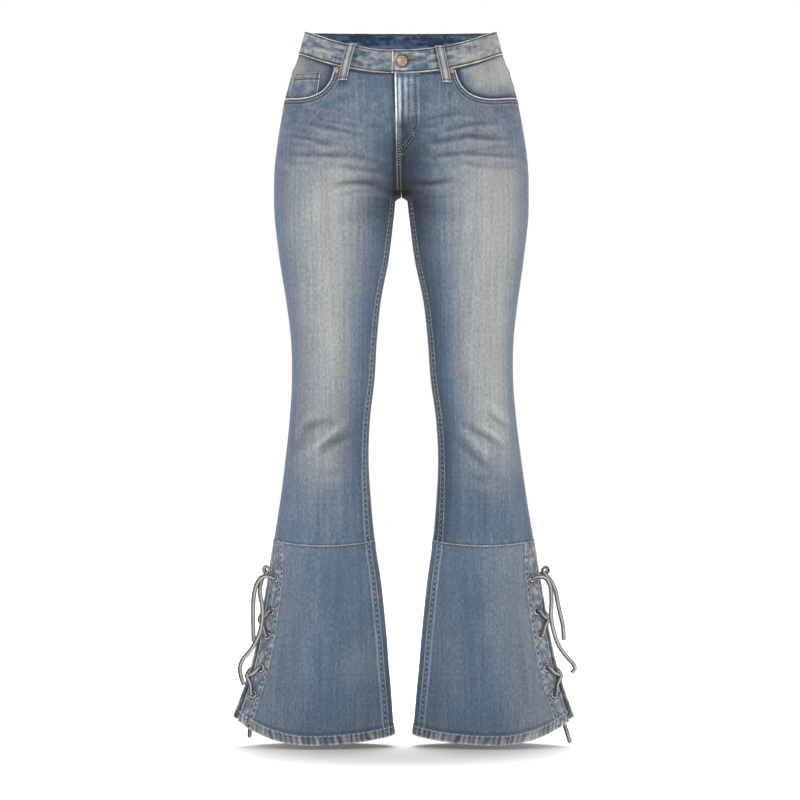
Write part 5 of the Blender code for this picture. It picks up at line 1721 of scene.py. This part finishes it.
def makeFly():
    z = np.linspace(fly["top"], fly["end"], fly["rows"])[:, None]
    left, right = readOff(z, fly["left"]), readOff(z, fly["edge"])
    x = left + (right - left) * np.linspace(0.0, 1.0, fly["columns"])[None, :] ** 1.15
    cloth = layOut(np.where(x >= 0, 1, -1), turnAt(z, np.abs(x), True), z)
    cloth.u, cloth.start, cloth.end = x + 300.0, x - left, right - x
    washAndShade(cloth, True)
    addCreases(cloth, "front")
    start = cloth.start
    down = soft((start - 7.0) / np.maximum(right - left - 7.5, 2.0))
    pucker = uneven(z, 8.0, 520) * 0.6 + uneven(z, 4.2, 521) * 0.4
    cloth.lift += 0.28 + (fly["lift"] - 0.28) * (1 - down) + 0.35 * pucker * hump(start, 5.0, 5.0)
    worn = readOff(z, fly["worn"])
    cloth.wear += (0.86 + 0.2 * pucker) * (1 - soft((start - worn) / 0.9))
    # painted shade beside the worn edge, and darker lower down towards the crotch
    cloth.tone *= (1 - 0.55 * hump(start, worn + 2.2, 1.1)) * (1 - 0.30 * soft((-z - 160) / 24))
    # pale vertical streaks with dark lines between them, and the upper fly brighter: painted light and shade
    # standing for small puckers that are not modelled
    high = soft((z + 152) / 24) * (1 - 0.75 * soft((z + 82) / 6))
    stripes = 0.62 * hump(x, -2.4, 2.2) + 0.66 * hump(x, 6.8, 2.2) + 0.26 * hump(x, 15.0, 2.4)
    cloth.fade += high * (stripes * (0.85 + 0.35 * pucker) + 0.02)
    cloth.wear += high * (0.26 * hump(x, -2.4, 1.8) + 0.18 * hump(x, 6.8, 1.8))
    cloth.tone *= (1 - 0.34 * (hump(x, 2.4, 1.4) + hump(x, 11.0, 1.4)) * high) * (1 + 0.80 * high)
    # painted shade in a dip low on the fly, and a painted shadow under the waistband at its top
    dips = 0.34 * hump(z, -150.0, 12.0) * hump(x, 5.0, 8.0)
    cloth.tone *= 1 - dips - 0.25 * hump(z, -76.0, 3.5) * soft((x + 6) / 4)
    # painted shade between the rows of stitches
    cloth.tone *= 1 - 0.24 * hump(x, readOff(z, fly["stitches"]) - 1.9, 2.6) * (z > -188)
    piece = clothPiece("flyPlacket", cloth, "denim", fly["cloth"], edge=0.4)
    asSheet(piece, cloth, "fly_placket")
    sewFly(piece, cloth)


def sewFly(piece, cloth):
    for shift in (0.0, -3.8):
        rows = [(x + shift, z - (0.0 if x > 22 else 0.5) * shift) for z, x in fly["stitches"]]
        blueSeams.row(piece, onFront(smoothLine(rows, 2.0), 4.0), pitch=4.4, thick=0.9)
    # the dark marks between the two rows are painted shade
    between = onFront([(x - 1.9, z) for z, x in fly["stitches"]], 4.0)
    shadeMarks.row(piece, between, pitch=5.0, length=3.2, thick=1.5, marks=False)
    # worn stitches lie across the edge like a ladder, and further down along it
    k = np.arange(fly["rungs"])
    rungs = np.stack([-4.2 + 0.4 * np.sin(k * 2.4), fly["rungsFrom"] - fly["rungStep"] * k], 1)
    spots, normals, _ = settleOn(piece, onFront(rungs))
    tanSeams.put(spots, normals, np.tile([1.0, 0.0, 0.0], (len(spots), 1)), 3.4, 1.2, 0.1)
    for distance, below in ((4.6, -206), (8.4, -190)):
        line = seamLine(cloth, "start", distance)
        tanSeams.row(piece, line[line[:, 2] < below])
    rustSeams.bar(piece, onFront((17.6, -161.0)), (0.25, 0.0, 1.0), 8.0, wide=2.0)
    rustSeams.bar(piece, onFront((1.5, -190.0)), (1.0, 0.0, 0.15), 7.0)


zipper = {
    "from": -78.0, "to": -166.0, "halfWidth": 14.0, "behind": 2.9, "tape": 0.6, "teeth": 46,
    "tooth": (0.0042, 0.0011, 0.00125), "toothEdge": 0.00025,  # in metres
}


def makeZip():
    z = np.linspace(zipper["from"], zipper["to"], 60)[:, None]
    x = np.linspace(-zipper["halfWidth"], zipper["halfWidth"], 17)[None, :]
    cloth = layOut(np.where(x >= 0, 1, -1), turnAt(z, np.abs(x), True), z)
    cloth.u = np.broadcast_to(x + 300.0, cloth.z.shape)
    cloth.lift -= zipper["behind"]
    cloth.fade -= 0.1
    cloth.tone *= 0.7
    tape = clothPiece("zipTape", cloth, "zip", zipper["tape"], innerDenim, edge=0.15)
    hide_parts("fly_zip")
    teeth = []
    for k in range(zipper["teeth"]):
        share = (k + 0.5) / zipper["teeth"]
        height = zipper["from"] - 2 + (zipper["to"] - zipper["from"] + 6) * share
        point = onFront((0.9 if k % 2 else -0.9, height), -zipper["behind"] - 1.0)
        bpy.ops.mesh.primitive_cube_add(size=1.0, location=tuple(point * mm))
        tooth = bpy.context.object
        tooth.scale = zipper["tooth"]
        teeth.append(tooth)
    row = joined(teeth)
    row.name = row.data.name = "zipTeeth"
    bpy.ops.object.transform_apply(location=True, rotation=True, scale=True)
    applyModifier(row, "BEVEL", width=zipper["toothEdge"], segments=2)
    row.data.materials.clear()
    row.data.materials.append(zipBrass)
    finishPiece(row, "zip")


# pockets

coin = {
    "top": (-66.0, -68.5), "inner": (-119.0, -124.0), "side": 7.0, "cloth": 1.1, "gap": 0.6,
    "clear": 1.6, "hem": 9.6, "rows": 33, "columns": 37,
    "stitches": (  # border, distance from it, thread (most rows are dark marks of painted shade), thickness
        ("top", 1.6, shadeMarks, 0.8), ("top", 4.0, tanSeams, 0.7), ("top", 7.0, shadeMarks, 0.7),
        ("top", 10.0, shadeMarks, 1.1), ("end", 2.6, shadeMarks, 0.9), ("end", 6.2, shadeMarks, 0.7)),
}
facing = {  # how pale, by the way from the middle, and how dark each is as painted shade
    "at": (98.0, 126.0, 158.0), "Left": (0.26, 0.42, 0.78), "Right": (0.90, 0.94, 0.88),
    "tone": {"Left": 0.80, "Right": 1.1}, "rows": 60, "columns": 74,
}


def makePocketFacing(leg, side):
    innerX = abs(pocketMouth(side)[0][0]) - pockets["below"]
    low = min(z for _, z in pockets["mouth"]) - pockets["below"]

    def heightAt(s, turn):
        top = upperHeight(-cut["bandHeight"], turn)
        return top + (low - top) * s

    cloth = panelGrid(
        side, True, heightAt, facing["rows"], facing["columns"], lambda z: turnAt(z, innerX, True))
    drawIn(cloth)
    x, z, start = cloth.x, cloth.z, cloth.start
    # it lies one layer down at the mouth, and level with the back panel at the side seam
    level = (1 - soft((start - 1.5) / 9.0)) * soft((z + 100.0) / 6.0)
    cloth.lift -= pockets["depth"] * (1 - 0.8 * level)
    cloth.fade += np.interp(side * x, facing["at"], facing[leg])
    cloth.fade += 0.24 * blotch(x + 400, z + 300, 12, 15, 530 + side)
    # the left facing darker all over: painted shade
    cloth.tone *= facing["tone"][leg]
    mouth = mouthLine(side)
    away, _ = nearLine(x, z, mouth)
    # painted shadow along the pocket mouth, made bluer, and towards the facing's inner end
    edge = 1 - soft((side * x - abs(mouth[0, 0])) / 14.0)
    cloth.tone *= (1 - 0.66 * hump(away, 0.0, 6.0) - 0.16 * hump(away, 0.0, 18.0)) * (1 - 0.22 * edge)
    cloth.fade -= 0.75 * hump(away, 0.0, 8.0) + 0.30 * hump(away, 0.0, 18.0) + 0.35 * edge
    # painted shadow under the waistband and in the side seam
    cloth.tone *= (1 - 0.72 * hump(cloth.top, 0.0, 2.2)) * (1 - 0.45 * hump(start, 3.2, 0.9))
    piece = clothPiece(f"pocketFacing{leg}", cloth, "denim", pockets["cloth"], edge=0.2)
    asSheet(piece, cloth, f"pocket_facing_{leg.lower()}")


def makeCoinPocket():
    share = np.linspace(0.0, 1.0, coin["columns"])[None, :]
    down = np.linspace(0.0, 1.0, coin["rows"])[:, None]
    innerX = coin["inner"][0] + (coin["inner"][1] - coin["inner"][0]) * down
    top = coin["top"][0] + (coin["top"][1] - coin["top"][0]) * share
    outerX = coin["side"] - sectionAt(top)[0]
    low = readOff(outerX + (innerX - outerX) * share, mouthLine(-1)) + coin["clear"]
    z = top + (low - top) * down
    outerX = coin["side"] - sectionAt(z)[0]
    x = outerX + (innerX - outerX) * share
    cloth = layOut(-1, turnAt(z, np.abs(x), True), z)
    cloth.u = x + 300.0
    drawIn(cloth)
    top, end = cloth.top, cloth.end
    inHem = 1 - soft((top - coin["hem"]) / 1.2)
    cloth.lift += coin["gap"] + coin["cloth"] - pockets["depth"] + 0.5 * inHem
    cloth.fade += 0.24 + 0.46 * inHem + 0.30 * blotch(x + 300, z + 300, 7, 10, 540)
    # edges worn pale, each with a line of painted shade just inside
    for border, much in ((end, 0.85), (top, 0.45), (cloth.start, 0.3)):
        cloth.wear += much * hump(border, 0.0, 1.2)
        cloth.tone *= 1 - 0.60 * hump(border, 2.6, 0.9)
    # painted shade below the hem's fold and in the channel beside the side stitching
    cloth.tone *= 1 - 0.62 * hump(top, coin["hem"] + 0.6, 1.0) - 0.28 * hump(end, 6.2, 0.9)
    cloth.wear += 0.35 * hump(top, coin["hem"] + 2.4, 0.9)
    # painted shade along the lower edge
    cloth.tone *= 1 - 0.40 * (1 - soft(cloth.low / 7.0))
    piece = clothPiece("coinPocket", cloth, "denim", coin["cloth"], edge=0.4)
    asSheet(piece, cloth, "coin_pocket")
    for key, distance, seams, thick in coin["stitches"]:
        line = seamLine(cloth, key, distance)[1:-1]
        seams.row(piece, line, pitch=3.0, length=2.7, thick=thick, marks=False)
    rustSeams.bar(piece, onFront((-123.5, -74.0)), (0.0, 0.0, 1.0), 6.0, wide=1.8)


backPocket = {
    "top": -112.0, "side": -226.0, "point": 22.0, "topX": (28.0, 160.0), "lowX": (38.0, 152.0),
    "lift": 1.1, "hem": 17.0, "cells": 66,
}


def makeBackPocket(leg, side):
    share = np.linspace(0.0, 1.0, backPocket["cells"] + 1)
    (topA, topB), (lowA, lowB), high = backPocket["topX"], backPocket["lowX"], backPocket["top"]
    across, down = share[None, :], share[:, None]
    topX, lowX = topA + (topB - topA) * across, lowA + (lowB - lowA) * across
    lowZ = backPocket["side"] - backPocket["point"] * (1.0 - np.abs(2.0 * across - 1.0))
    x = topX + (lowX - topX) * down
    z = high + (lowZ - high) * down
    cloth = layOut(side, turnAt(z, x, False), z)
    cloth.u = x + 300.0
    washAndShade(cloth, False)
    drawIn(cloth)
    start, end, top, low = cloth.start, cloth.end, cloth.top, cloth.low
    cloth.lift += backPocket["lift"] + cut["cloth"] + 0.5 * blotch(x, z + 300, 26, 30, 550 + side)
    border = np.minimum(np.minimum(start, end), low)
    pucker = uneven(np.where(low < np.minimum(start, end), x, z), 6.5, 552 + side)
    cloth.lift += 0.25 * pucker * hump(border, 3.0, 4.0) - 0.30 * hump(border, 0.0, 2.0)
    cloth.lift += 0.35 * (1 - soft((top - backPocket["hem"]) / 1.5))
    cloth.wear += (0.50 + 0.3 * pucker) * hump(border, 0.2, 1.3) + 0.50 * hump(top, 0.2, 1.6)
    # painted shade beside the stitching and below the hem
    cloth.tone *= 1 - 0.20 * hump(border, 9.0, 1.4) - 0.22 * hump(top, backPocket["hem"] + 1.4, 1.4)
    cloth.fade += 0.10 * held(pucker) * hump(border, 4.0, 4.0) + 0.07
    piece = clothPiece(f"backPocket{leg}", cloth, "denim", edge=0.4)
    asSheet(piece, cloth, f"back_pocket_{leg.lower()}")
    for key in ("start", "end", "low"):
        for distance in (2.0, 7.2):
            tanSeams.row(piece, seamLine(cloth, key, distance)[3:-3])
    for above in (4.6, 0.6):
        tanSeams.row(piece, seamLine(cloth, "top", backPocket["hem"] - above)[1:-1])
    for key in ("start", "end"):
        rustSeams.bar(piece, seamLine(cloth, key, 4.4)[0], (1.0, 0.0, 0.0), 6.5, wide=1.8)


stage("button, rivets and zip")
turnedPiece("waistButton", "button", 48, atX(*metalwork["buttonAt"]), copper, "aged_copper", "waist_button")
for leg, place in metalwork["rivetsAt"].items():
    turnedPiece(f"rivet{leg}", "rivet", 28, atX(*place), copper, "aged_copper", f"rivet_{leg.lower()}")
makeZip()

stage("waistband, loops, fly and pockets")
waistPiece, waistCloth = makeWaistband()
loopPieces = [makeBeltLoop(k, *place) for k, place in enumerate(loops["places"])]
asSheet(waistPiece, waistCloth, "waistband")
makeFly()
for leg, side in legs.items():
    makePocketFacing(leg, side)
makeCoinPocket()
for leg, side in legs.items():
    makeBackPocket(leg, side)

stage("stitches")
for seams in (tanSeams, blueSeams, hemSeams, rustSeams, shadeMarks):
    seams.finish()
